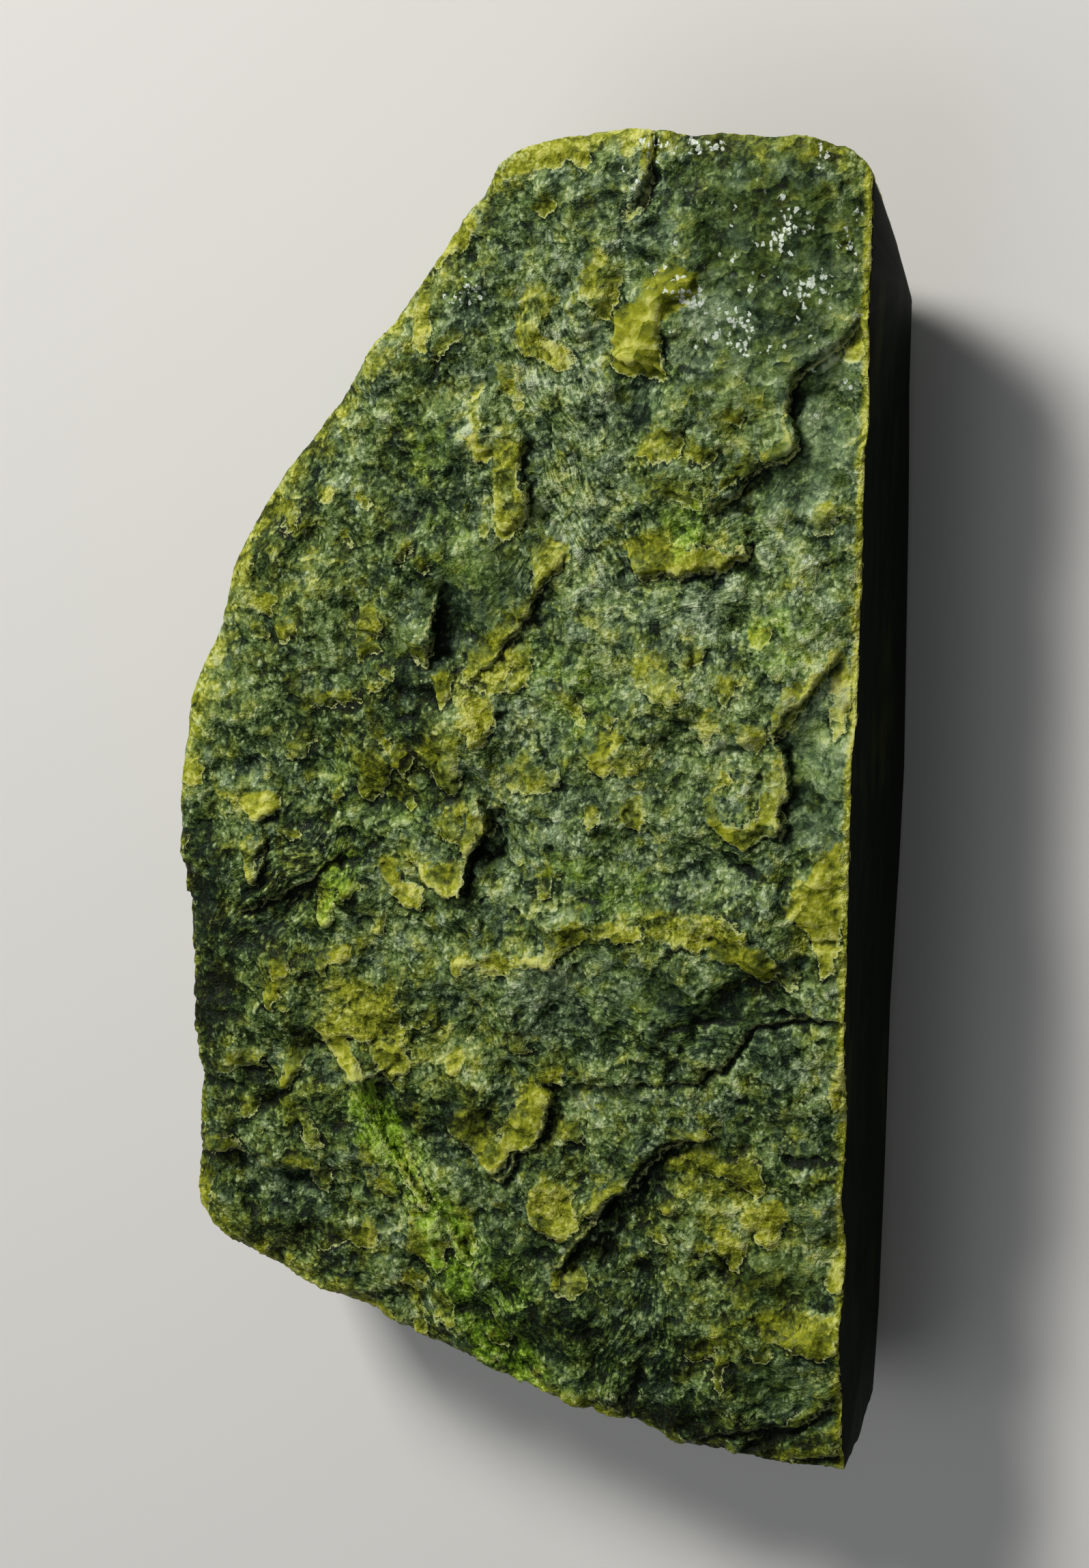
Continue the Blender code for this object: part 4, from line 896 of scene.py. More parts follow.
def flake_field(places):
    """The nearest flake at each place.

    Gives how far inside it the place is, in millimetres, how far along it leans, from root to lip,
    the height that flakes add there, its tone, and how sugary it is.
    """
    inside = np.full(len(places), FAR_OUTSIDE)
    lean = np.full(len(places), 0.5)
    rise = np.zeros(len(places))
    tone = np.zeros(len(places))
    sugar = np.zeros(len(places))
    for yellow, height, sugary, outline in FLAKES:
        depth = area_fit(places, outline)
        reach = np.array(outline, dtype=float) @ TILT_DIRECTION
        along = (places @ TILT_DIRECTION - reach.min()) / (reach.max() - reach.min())
        along = np.clip(along, 0.0, 1.0)
        stands = height * (ROOT_RISE + LIP_RISE * along) * smooth_step(*FLAKE_EDGE, depth)
        rise = np.maximum(rise, stands)
        nearer = (depth > 0.0) | (depth > inside)
        tone[nearer] = yellow
        sugar[nearer] = sugary
        lean[nearer] = along[nearer]
        inside[nearer] = depth[nearer]
    return inside, lean, rise, tone, sugar


def nearest_line(places, lines):
    """The distance from the nearest of some lines at each place, in widths, and its strength.

    Each line has its points, its width and its strength. The distance is positive to its left.
    """
    nearest = np.full(len(places), FAR_OFF)
    strength = np.zeros(len(places))
    for points, width, shown in lines:
        distance, run, length, _ = line_fit(places, points)
        distance = distance / width
        closer = np.abs(distance) < np.abs(nearest)
        nearest[closer] = distance[closer]
        strength[closer] = (end_taper(run, length) * min(1.0, shown))[closer]
    return nearest, strength


# The upper left of the broken edge is worn round and calm: within so far of the edge, above the
# first pair of heights, and left of the pair of places across.
CALM_INSIDE = (5.0, 1.0)
CALM_ABOVE = (-14.0, 6.0)
CALM_LEFT_OF = (38.0, 24.0)


def calm_edge(places, inside):
    """How smoothly the stone is rounded off at its broken edge, from 0 to 1."""
    upper_left = smooth_step(*CALM_ABOVE, places[:, 1]) * smooth_step(*CALM_LEFT_OF, places[:, 0])
    return smooth_step(*CALM_INSIDE, inside) * upper_left


SWELL = 3.0
SWELL_MIDDLE_Y = -5.0
SWELL_REACH = 34.0
SWELL_SHARE = 0.75
SWELL_LEAN = 0.25
LEDGE_WIDTH = 0.3
LEDGE_RISE_SHARE = 0.72
LEDGE_DROP_SHARE = 0.66
LIP_LEAN = 0.6
LIP_REACH = 1.3
NEAR_LINE = 0.05
SMOOTH_LOSS = 0.75
CALM_LOSS = 0.7
# Lumps of three sizes: the size, height, seed, and how much of it is rounded to layers.
LUMP_SIZE = 11.0
LUMP_HEIGHT = 1.5
LUMP_SEED = 1
LUMP_LAYERS = 0.5
LAYER_STEPS = 3.0
LAYER_SHARPNESS = 0.3
FINER_LUMPS = [(7.0, 0.9, 21, 0.5), (2.6, 0.34, 22, 0.6)]


def layered(values, share):
    """Noise, a share of it rounded towards steps, as a flaky break is."""
    level = values * LAYER_STEPS
    above = smooth_step(1.0 - LAYER_SHARPNESS, 1.0, level - np.floor(level))
    return (1.0 - share) * values + share * ((np.floor(level) + above) / LAYER_STEPS)


def front_relief(places, inside):
    """Height of the break at places so far inside the edge, and how far its lips lean out there."""
    x, y = places.T
    swell = SWELL * np.exp(-((y - SWELL_MIDDLE_Y) / SWELL_REACH) ** 2)
    height = THICKNESS + swell * (SWELL_SHARE + SWELL_LEAN * x / (WIDTH / 2))
    lean = np.zeros_like(places)
    smooth = zone_field(places, SMOOTH_ZONES)
    drawn = torn(places, smooth)

    for points, rise, drop, reach_high, reach_low in LEDGES:
        rise, drop = LEDGE_RISE_SHARE * rise, LEDGE_DROP_SHARE * drop
        distance, run, length, nearest = line_fit(drawn, points)
        above = smooth_step(-LEDGE_WIDTH, LEDGE_WIDTH, distance)
        high = rise * np.exp(-np.maximum(distance, 0.0) / reach_high)
        low = drop * np.exp(-np.maximum(-distance, 0.0) / reach_low)
        taper = end_taper(run, length)
        height += taper * (above * high - (1.0 - above) * low)
        out = (nearest - drawn) / np.maximum(np.abs(distance), NEAR_LINE)[:, None]
        push = taper * above * np.exp(-np.maximum(distance, 0.0) / LIP_REACH)
        lean += out * (push * LIP_LEAN * (rise + drop) / 2.0)[:, None]

    for points, crest, reach_left, reach_right in RIDGES:
        distance, run, length, _ = line_fit(drawn, points)
        reach = np.where(distance > 0.0, reach_left, reach_right)
        height += end_taper(run, length) * crest * np.exp(-np.abs(distance) / reach)

    for *oval, depth in HOLLOWS:
        height -= depth * np.exp(-oval_fit(drawn, *oval) ** 2)

    for points, depth, half_width in GROOVES:
        distance, run, length, _ = line_fit(drawn, points)
        height -= end_taper(run, length) * depth * np.exp(-(distance / half_width) ** 2)

    height += LUMP_HEIGHT * layered(lump_noise(on_plane(places), LUMP_SIZE, LUMP_SEED), LUMP_LAYERS)
    rough = (1.0 - SMOOTH_LOSS * smooth) * (1.0 - CALM_LOSS * calm_edge(places, inside))
    for size, lump_height, seed, layers in FINER_LUMPS:
        height += lump_height * rough * layered(soft_noise(drawn, size, seed, 2), layers)

    _, _, rise, _, _ = flake_field(drawn)
    height += rise
    return height, lean


# ------------------------------------------------------------------------------------------------
# The broken walls and the chipped back.
# The walls run in a little below the front and bulge at mid height, and the top end slopes away. The
# back is sawn flat, and it is chipped away along the sawn side, where the saw cut ran out.
# ------------------------------------------------------------------------------------------------

# Each pair is a place along Y and the chip's height there. The chip is so many times as wide as it
# is high.
CHIP_HEIGHTS = [
    (-85, 8.8), (-70, 6.2), (-49, 5.0), (-28, 4.6), (-9, 1.4), (3, 0.1), (20, 1.2), (40, 2.4),
    (62, 4.0),
]
CHIP_DEPTH_BELOW = 3.0
CHIP_WIDTH_RATIO = 2.3
CHIP_RAGGEDNESS = 3.5
CHIP_LUMP_SIZE = 7.0
CHIP_SEED = 3
CHIP_ROUGHNESS = 1.3
CHIP_CURVE = 1.3


def back_height(places):
    """Height of the back: 0 where it is sawn, and more in the chip along the sawn side."""
    x, y = places.T
    along, heights = np.array(CHIP_HEIGHTS, dtype=float).T
    edge_height = np.interp(y, along, heights)
    lumps = lump_noise(on_plane(places), CHIP_LUMP_SIZE, CHIP_SEED)
    width = CHIP_WIDTH_RATIO * (edge_height + CHIP_DEPTH_BELOW) + CHIP_RAGGEDNESS * lumps
    share = np.clip((x - WIDTH / 2 + width) / width, 0.0, 1.0)
    roughness = CHIP_ROUGHNESS * lumps * np.sin(np.pi * share)
    chip = (edge_height + CHIP_DEPTH_BELOW) * share ** CHIP_CURVE - CHIP_DEPTH_BELOW + roughness
    return np.maximum(chip, 0.0)


END_SLOPE = 0.62
END_SLOPE_FROM_Y = 30.0
END_SLOPE_STOPS = 3.0
WALL_TAPER = 3.2
WALL_BULGE = 1.4
WALL_ROUGHNESS = 0.9
WALL_LUMP_SIZE = 9.0
WALL_LUMP_LEVEL = 0.4
WALL_SEED = 2
WALL_CALM = 0.65
WALL_REACH = 8.0
EDGE_ROLL = 2.6
EDGE_ROLL_REACH = 4.5
# Lips lean out only high up and away from the broken edge, and nothing moves across the saw cut.
LEAN_FROM = (0.8, 1.0)
LEAN_INSIDE = (0.5, 3.0)
OFF_SAW = (0.0, 0.8)


def shape_stone(places):
    """Turn the plain block's places into the stone's."""
    x, y, z = places.T
    flat = places[:, :2].copy()
    share_up = np.clip(z / THICKNESS, 0.0, 1.0)

    inside, _, _, nearest = line_fit(flat, BROKEN_EDGE)
    outward = (nearest - flat) * np.sign(inside)[:, None]
    outward /= np.maximum(np.abs(inside), 1e-6)[:, None]
    inside = np.maximum(inside, 0.0)
    below_front = np.sqrt(1.0 - share_up ** 4)
    lumps = lump_noise(places, WALL_LUMP_SIZE, WALL_SEED) - WALL_LUMP_LEVEL
    lumps = WALL_ROUGHNESS * lumps * below_front
    lumps *= 1.0 - WALL_CALM * smooth_step(*CALM_ABOVE, y)
    inset = WALL_TAPER * (1.0 - share_up) - WALL_BULGE * np.sin(np.pi * share_up) - lumps
    pulled_in = -outward * (inset * np.exp(-inside / WALL_REACH))[:, None]

    top, lean = front_relief(flat, inside)
    top -= EDGE_ROLL * np.exp(-inside / EDGE_ROLL_REACH)
    lean *= (smooth_step(*LEAN_FROM, share_up) * smooth_step(*LEAN_INSIDE, inside))[:, None]
    bottom = back_height(flat)
    off_saw = smooth_step(*OFF_SAW, WIDTH / 2 - x)
    sideways = pulled_in + lean
    sideways[:, 0] *= off_saw
    shaped = np.column_stack([flat + sideways, bottom + (top - bottom) * share_up])

    slope = END_SLOPE * (THICKNESS - np.minimum(shaped[:, 2], THICKNESS))
    shaped[:, 1] -= slope * smooth_step(END_SLOPE_FROM_Y, LENGTH / 2 - END_SLOPE_STOPS, y)
    return shaped


move_vertices(rough_mesh, shape_stone(mesh_places(rough_mesh)))


# ------------------------------------------------------------------------------------------------
# Grain of the broken surface.
# Torn fibre ends stand on the break as crumbs and short scales well under a millimetre high. A node
# tree pushes the surface out along its normals by them, and leaves the sawn faces flat.
# ------------------------------------------------------------------------------------------------

FACE_LIMIT = 192000
SAWN_MARGIN = (0.06, 0.6)
SMOOTH_GRAIN_LOSS = 0.6
GRAIN_FRONT = (20.0, 25.0)

places_now = mesh_places(rough_mesh)
flat_now = places_now[:, :2]
off_side = smooth_step(*SAWN_MARGIN, WIDTH / 2 - places_now[:, 0])
broken = off_side * smooth_step(*SAWN_MARGIN, places_now[:, 2])
smooth_now = zone_field(flat_now, SMOOTH_ZONES) * smooth_step(*GRAIN_FRONT, places_now[:, 2])
broken *= 1.0 - SMOOTH_GRAIN_LOSS * smooth_now
broken *= 1.0 - CALM_LOSS * calm_edge(flat_now, line_fit(flat_now, EDGE_CORNERS)[0])


def store(mesh, name, values):
    """Keep a value for each point of a mesh."""
    attribute = mesh.attributes.new(name, "FLOAT", "POINT")
    attribute.data.foreach_set("value", values.astype(np.float32))


store(rough_mesh, "broken", broken)


class Graph:
    """Short ways to add nodes to a tree of any kind."""

    def __init__(self, tree):
        self.tree = tree
        self.nodes = tree.nodes
        self.links = tree.links

    def feed(self, socket, value):
        if isinstance(value, bpy.types.NodeSocket):
            self.links.new(value, socket)
        else:
            socket.default_value = value

    def maths(self, operation, *values):
        node = self.nodes.new("ShaderNodeMath")
        node.operation = operation
        for socket, value in zip(node.inputs, values):
            self.feed(socket, value)
        return node.outputs[0]

    def times(self, *values):
        result = values[0]
        for value in values[1:]:
            result = self.maths("MULTIPLY", result, value)
        return result

    def plus(self, *values):
        result = values[0]
        for value in values[1:]:
            result = self.maths("ADD", result, value)
        return result

    def vector(self, operation, *values):
        node = self.nodes.new("ShaderNodeVectorMath")
        node.operation = operation
        for socket, value in zip(node.inputs, values):
            self.feed(socket, value)
        return node.outputs["Value" if operation == "DOT_PRODUCT" else "Vector"]

    def mix(self, share, first, second):
        node = self.nodes.new("ShaderNodeMix")
        node.data_type = "RGBA"
        self.feed(node.inputs["Factor"], share)
        self.feed(node.inputs[6], first)
        self.feed(node.inputs[7], second)
        return node.outputs[2]

    def step(self, value, low, high):
        node = self.nodes.new("ShaderNodeMapRange")
        node.interpolation_type = "SMOOTHSTEP"
        self.feed(node.inputs["Value"], value)
        self.feed(node.inputs["From Min"], low)
        self.feed(node.inputs["From Max"], high)
        return node.outputs[0]

    def noise(self, vector, size, detail=2.0, roughness=0.5, output=0):
        node = self.nodes.new("ShaderNodeTexNoise")
        self.feed(node.inputs["Vector"], vector)
        self.feed(node.inputs["Scale"], 1.0 / (size * MM))
        self.feed(node.inputs["Detail"], detail)
        self.feed(node.inputs["Roughness"], roughness)
        return node.outputs[output]

    def swing(self, *settings):
        return self.maths("SUBTRACT", self.noise(*settings), 0.5)

    def cells(self, vector, size, feature="F1"):
        node = self.nodes.new("ShaderNodeTexVoronoi")
        node.feature = feature
        self.feed(node.inputs["Vector"], vector)
        self.feed(node.inputs["Scale"], 1.0 / (size * MM))
        return node.outputs

    def split(self, vector):
        node = self.nodes.new("ShaderNodeSeparateXYZ")
        self.feed(node.inputs[0], vector)
        return node.outputs


LARGE_SCALE = 4.6
MIDDLE_SCALE = 2.4
SMALL_SCALE = 1.25
# The sizes at which scales are bent, and how far each pushes them.
SCALE_BENDS = [(2.8, 1.0), (0.8, 0.35)]
MIDDLE_GREY = (0.5, 0.5, 0.5)


def bent_places(g, places, bends, detail):
    """Places pushed about by noise, so that the scales drawn on them have torn edges."""
    for size, reach in bends:
        push = g.vector("SUBTRACT", g.noise(places, size, detail, 0.5, "Color"), MIDDLE_GREY)
        node = g.vector("SCALE", push)
        node.node.inputs["Scale"].default_value = 2.0 * reach * MM
        places = g.vector("ADD", places, node)
    return places


def torn_scales(g, bent, size):
    """Overlapping scales: the place from a scale's root, 0, to its lip, 1, and its own draws."""
    scale_cells = g.cells(bent, size)
    from_middle = g.vector("SUBTRACT", bent, scale_cells["Position"])
    along = g.vector("DOT_PRODUCT", from_middle, (*TILT_DIRECTION, 0.0))
    lean = g.plus(g.times(along, 1.0 / (size * MM)), 0.5)
    return lean, g.split(scale_cells["Color"])


# Scales of three sizes: the name of the input that sets their height, their size, and their height.
GRAINS = [
    ("Large scale height", LARGE_SCALE, 0.3),
    ("Middle scale height", MIDDLE_SCALE, 0.26),
    ("Small scale height", SMALL_SCALE, 0.16),
]
LEAN_SHARE = 0.7
DRAW_SHARE = 0.6
MEAN_LEVEL = -0.65

grain_tree = bpy.data.node_groups.new("torn_grain", "GeometryNodeTree")
sockets = grain_tree.interface
sockets.new_socket("Geometry", in_out="INPUT", socket_type="NodeSocketGeometry")
for height_name, _, scale_height in GRAINS:
    socket = sockets.new_socket(height_name, in_out="INPUT", socket_type="NodeSocketFloat")
    socket.default_value = scale_height
sockets.new_socket("Geometry", in_out="OUTPUT", socket_type="NodeSocketGeometry")
gg = Graph(grain_tree)
grain_in = gg.nodes.new("NodeGroupInput")
grain_out = gg.nodes.new("NodeGroupOutput")
grain_position = gg.nodes.new("GeometryNodeInputPosition").outputs[0]
grain_bent = bent_places(gg, grain_position, SCALE_BENDS, 2.0)
push_out = 0.0
for height_name, scale_size, _ in GRAINS:
    scale_lean, scale_draws = torn_scales(gg, grain_bent, scale_size)
    level = gg.times(scale_lean, LEAN_SHARE)
    level = gg.plus(level, gg.times(scale_draws[0], DRAW_SHARE), MEAN_LEVEL)
    push_out = gg.plus(push_out, gg.times(level, grain_in.outputs[height_name], MM))
broken_here = gg.nodes.new("GeometryNodeInputNamedAttribute")
broken_here.data_type = "FLOAT"
broken_here.inputs["Name"].default_value = "broken"
push_out = gg.times(push_out, broken_here.outputs["Attribute"])
along_normal = gg.nodes.new("ShaderNodeVectorMath")
along_normal.operation = "SCALE"
gg.links.new(gg.nodes.new("GeometryNodeInputNormal").outputs[0], along_normal.inputs[0])
gg.links.new(push_out, along_normal.inputs["Scale"])
pushed = gg.nodes.new("GeometryNodeSetPosition")
gg.links.new(grain_in.outputs["Geometry"], pushed.inputs["Geometry"])
gg.links.new(along_normal.outputs[0], pushed.inputs["Offset"])
gg.links.new(pushed.outputs["Geometry"], grain_out.inputs["Geometry"])

rough_stone = linked("rough_stone", rough_mesh)
grain = rough_stone.modifiers.new("grain", "NODES")
grain.node_group = grain_tree
thin = rough_stone.modifiers.new("thin", "DECIMATE")
thin.ratio = min(1.0, FACE_LIMIT / (2.0 * len(rough_mesh.polygons)))
stone_mesh = applied(rough_stone, "jade_slab_stone")


def fit_ends(values, low, high):
    """Stretch the values on each side of zero so that their ends reach low and high."""
    return np.where(values < 0.0, values * low / values.min(), values * high / values.max())


stone_places = mesh_places(stone_mesh)
box_low, box_high = (np.array(corner) / MM for corner in cad_box)
for axis in (0, 1):
    stone_places[:, axis] = fit_ends(stone_places[:, axis], box_low[axis], box_high[axis])
tallest = stone_places[:, 2].max()
above_rim = np.maximum(stone_places[:, 2] - THICKNESS, 0.0)
stone_places[:, 2] = np.maximum(stone_places[:, 2], 0.0) - above_rim
stone_places[:, 2] += above_rim * min(1.0, (box_high[2] - THICKNESS) / (tallest - THICKNESS))
move_vertices(stone_mesh, stone_places)
stone_mesh.shade_smooth()
stone = linked("jade_slab_stone", stone_mesh)


# ------------------------------------------------------------------------------------------------
# Colour zones.
# Weathered flakes are olive and yellow, fresh breaks are dark green with pale grains, and thin
# lips get a painted glow. The zones, with the painted light and shade that go with the forms, are
# worked out where the forms are and kept on the mesh's points for the material to read.
# ------------------------------------------------------------------------------------------------

# Where painted glints stand for white grains catching the light: the middle, half length, half
# width, turn, and strength.
GLINT_ZONES = [
    (24, 66, 3, 2.4, 130, 1), (28, 62.5, 3.4, 2.2, 130, 0.9), (31, 60, 2.4, 1.8, 0, 0.8),
    (39, 67, 3, 2.4, 120, 0.9), (43, 74, 4, 1.4, 80, 0.9), (22, 82.5, 4.5, 1.8, 0, 0.8),
    (34.5, 75, 3.6, 1.5, 80, 0.8), (16, 72, 2, 1.2, 90, 0.8), (17, 79, 1.8, 1.2, 0, 1),
    (38, 82.5, 3, 1.4, 60, 0.8), (31, 68, 17, 15, 0, 0.32), (-5, 65, 2.6, 1.8, 0, 0.8),
    (40, 55, 6, 3, 80, 0.4), (38, 34, 6, 4, 40, 0.3), (-23, -44, 1.6, 1.2, 0, 0.8),
    (14, -62, 2, 1.4, 0, 0.6),
]

# Where fibres lie side by side: the middle, half length, half width, turn, and strength.
FIBRE_ZONES = [
    (8, 54, 11, 5, 118, 1), (12, 38, 11, 5, 125, 1), (16.5, 52.5, 4, 2.6, 50, 1),
    (33, 41, 8, 4, 40, 0.7), (22, 30, 12, 3.5, 12, 0.7), (17, -69, 10, 5, 78, 1),
    (20, -24, 12, 4, -8, 0.8), (-10, -68, 8, 4, 118, 1), (-30, -12, 14, 5, 42, 1),
    (-14, -50, 14, 4, 118, 0.8), (16, -52, 8, 3, 52, 0.8), (0, -70, 8, 5, 115, 0.7),
    (-30, 36, 14, 5, 52, 0.5), (2, 30, 8, 4, 60, 0.6), (38, -76, 9, 3.5, 32, 0.8),
    (-24, -64, 14, 3.5, -18, 0.7),
]


FIBRE_FADE = (1.35, 0.6)


def fibre_field(places):
    """The place along and across the fibres at each place, and how plainly they show."""
    along = np.zeros(len(places))
    across = np.zeros(len(places))
    strongest = np.zeros(len(places))
    for *oval, strength in FIBRE_ZONES:
        shows = strength * smooth_step(*FIBRE_FADE, oval_fit(places, *oval))
        angle = math.radians(oval[-1])
        stronger = shows > strongest
        along[stronger] = (places @ (math.cos(angle), math.sin(angle)))[stronger]
        across[stronger] = (places @ (-math.sin(angle), math.cos(angle)))[stronger]
        strongest = np.maximum(strongest, shows)
    return along, across, strongest


OWN_SHARE = 0.4
NEIGHBOUR_SHARE = 0.6


def smoothed(mesh, values, rounds):
    """Average each point's value with its neighbours', over and over."""
    ends = np.empty(len(mesh.edges) * 2, dtype=np.int64)
    mesh.edges.foreach_get("vertices", ends)
    first, second = ends.reshape(-1, 2).T
    size = len(values)
    count = np.bincount(first, minlength=size) + np.bincount(second, minlength=size)
    for _ in range(rounds):
        total = np.bincount(first, weights=values[second], minlength=size)
        total += np.bincount(second, weights=values[first], minlength=size)
        values = OWN_SHARE * values + NEIGHBOUR_SHARE * total / np.maximum(count, 1)
    return values


FRONT_HEIGHT = (20.0, 24.0)
# Seeds of the noise that makes the zones' edges ragged, its sizes, and how far it reaches.
ZONE_RAGS = [(5.0, 1.6, 61), (2.2, 1.2, 62)]
FIBRE_RAG = (14.0, 2.5, 63)
# A point is a crest or in a dip by how far it stands over its neighbours, near and wide about it:
# how many rounds they are averaged, and what height counts in full.
CREST = (3, 0.12)
RELIEF = (30, 0.8)
# The painted glow of the rim along the sawn side, and the pale edge of the break, which is
# narrower low on the left.
RIM_GLOW = (1.3, 0.5)
EDGE_HEIGHT = (19.0, 24.0)
EDGE_SHARE = (1.0, 0.05)
EDGE_WIDTH = 3.6
EDGE_NARROWING = 2.6
NARROW_BELOW = (8.0, -2.0)
NARROW_ABOVE = (-66.0, -56.0)
# How plainly the painted shade in a groove, or the glowing lip and painted shadow of a ledge,
# shows: a groove by its depth, and a ledge by its whole step.
GROOVE_SHOWS = 0.4
GROOVE_DEPTH_SHOWS = 0.6
FULL_LEDGE = 2.5
# How far from its line each of these still counts.
FLAKE_REACH = 2.0
GROOVE_REACH = 4.0
LEDGE_REACH = 3.0

stone_places = mesh_places(stone_mesh)
stone_flat = stone_places[:, :2]
stone_x, stone_y, stone_z = stone_places.T
on_front = smooth_step(*FRONT_HEIGHT, stone_z)
smooth_here = zone_field(stone_flat, SMOOTH_ZONES)
drawn_here = torn(stone_flat, smooth_here)
zone_flat = stone_flat
for rag in ZONE_RAGS:
    zone_flat = ragged(zone_flat, *rag)
paler_here, warmer_here, fresher_here = colour_field(zone_flat).T
flake_inside, flake_lean, _, flake_tone, flake_sugar = flake_field(drawn_here)
groove_lines = []
for points, depth, half_width in GROOVES:
    groove_lines.append((points, half_width, GROOVE_SHOWS + GROOVE_DEPTH_SHOWS * depth))
ledge_lines = []
for points, rise, drop, _, _ in LEDGES:
    ledge_lines.append((points, 1.0, (rise + drop) / FULL_LEDGE))
groove_distance, groove_strength = nearest_line(drawn_here, groove_lines)
ledge_distance, ledge_strength = nearest_line(drawn_here, ledge_lines)
crest_here = (stone_z - smoothed(stone_mesh, stone_z, CREST[0])) / CREST[1]
relief_here = (stone_z - smoothed(stone_mesh, stone_z, RELIEF[0])) / RELIEF[1]
fibre_along, fibre_across, fibre_strength = fibre_field(ragged(stone_flat, *FIBRE_RAG))
edge_inside = line_fit(stone_flat, EDGE_CORNERS)[0]
lower_left = smooth_step(*NARROW_BELOW, stone_y) * smooth_step(*NARROW_ABOVE, stone_y)
at_edge = smooth_step(*EDGE_SHARE, edge_inside / (EDGE_WIDTH - EDGE_NARROWING * lower_left))

everywhere = {
    "front": on_front,
    "flake": np.clip(flake_inside, -FLAKE_REACH, FLAKE_REACH),
    "tone": flake_tone,
    "lean": flake_lean,
    "sugar": flake_sugar,
    "groove": np.clip(groove_distance, -GROOVE_REACH, GROOVE_REACH),
    "ledge": np.clip(ledge_distance, -LEDGE_REACH, LEDGE_REACH),
    "fibre_along": fibre_along,
    "fibre_across": fibre_across,
    "edge": at_edge * smooth_step(*EDGE_HEIGHT, stone_z),
}
front_only = {
    "groove_strength": groove_strength,
    "ledge_strength": ledge_strength,
    "paler": paler_here,
    "warmer": warmer_here,
    "smooth": smooth_here,
    "fresher": np.maximum(fresher_here, 0.0),
    "crest": np.clip(crest_here, -1.0, 1.0),
    "relief": np.clip(relief_here, -1.0, 1.0),
    "glint": zone_field(zone_flat, GLINT_ZONES),
    "fibre_strength": fibre_strength,
    "painted_rim_glow": smooth_step(*RIM_GLOW, WIDTH / 2 - stone_x),
}
for attribute_name, point_values in everywhere.items():
    store(stone_mesh, attribute_name, point_values)
for attribute_name, point_values in front_only.items():
    store(stone_mesh, attribute_name, on_front * point_values)


# ------------------------------------------------------------------------------------------------
# Nephrite.
# A dense felt of green fibres: dark blue-green with pale sugary grains where it broke fresh, olive
# to yellow on the flakes, darkened to near black in the hollows by painted shade, and smooth and
# near black where it was sawn, its own dark green deepened there by painted shade.
# ------------------------------------------------------------------------------------------------

# Each ramp goes from the darkest stone, at 0, to the palest, at 1, by a value that holds the
# stone's own tone and painted light and shade.
GREEN_RAMP = [
    (0.00, (0.002, 0.006, 0.001)), (0.25, (0.015, 0.030, 0.005)), (0.50, (0.064, 0.109, 0.025)),
    (0.75, (0.170, 0.238, 0.080)), (1.00, (0.390, 0.450, 0.225)),
]
COOL_RAMP = [
    (0.00, (0.003, 0.007, 0.003)), (0.25, (0.014, 0.029, 0.011)), (0.50, (0.061, 0.100, 0.044)),
    (0.75, (0.158, 0.220, 0.108)), (1.00, (0.385, 0.450, 0.290)),
]
WARM_RAMP = [
    (0.00, (0.005, 0.006, 0.000)), (0.25, (0.027, 0.034, 0.001)), (0.50, (0.102, 0.122, 0.004)),
    (0.75, (0.248, 0.262, 0.012)), (1.00, (0.450, 0.455, 0.105)),
]
FRESH_RAMP = [
    (0.00, (0.004, 0.009, 0.000)), (0.25, (0.020, 0.042, 0.001)), (0.50, (0.078, 0.155, 0.003)),
    (0.75, (0.190, 0.305, 0.012)), (1.00, (0.360, 0.470, 0.110)),
]
LIP_PALE_AND_GLOW = (0.40, 0.43, 0.17, 1.0)
PALE_GRAIN_AND_SPARKLE = (0.36, 0.42, 0.25, 1.0)
PAINTED_GLINT_WHITE = (0.62, 0.68, 0.58, 1.0)


def ramp(g, value, stops):
    """A colour ramp over a value from 0 to 1."""
    node = g.nodes.new("ShaderNodeValToRGB")
    elements = node.color_ramp.elements
    while len(elements) < len(stops):
        elements.new(1.0)
    for element, (place, (red, green, blue)) in zip(elements, stops):
        element.position = place
        element.color = (red, green, blue, 1.0)
    g.feed(node.inputs[0], value)
    return node.outputs[0]


nephrite = bpy.data.materials.new("nephrite")
nephrite.use_nodes = True
g = Graph(nephrite.node_tree)
shader = g.nodes["Principled BSDF"]
where = g.nodes.new("ShaderNodeTexCoord").outputs["Object"]


def zone(name):
    """A value kept on the mesh's points."""
    node = g.nodes.new("ShaderNodeAttribute")
    node.attribute_name = name
    return node.outputs["Fac"]


front = zone("front")
paler = zone("paler")
warmer = zone("warmer")
lean = zone("lean")
tone = zone("tone")

# The felt itself: clouds as wide as a thumb, patches, and crumbs, with changes of hue that go their
# own way. Each noise has its size in millimetres, its detail, and its roughness.
CLOUDS = (8.0, 2.0, 0.5)
PATCHES = (3.0, 3.0, 0.6)
CRUMBS = (0.7, 3.0, 0.7)
HUES = (3.4, 4.0, 0.65)
HUES_SHIFT = (0.31, 0.17, 0.09)
BLUES = (4.0, 3.0, 0.6)
BLUES_SHIFT = (0.53, 0.41, 0.20)

clouds = g.swing(where, *CLOUDS)
patches = g.swing(where, *PATCHES)
crumbs = g.swing(where, *CRUMBS)
hues = g.swing(g.vector("ADD", where, HUES_SHIFT), *HUES)
blues = g.swing(g.vector("ADD", where, BLUES_SHIFT), *BLUES)
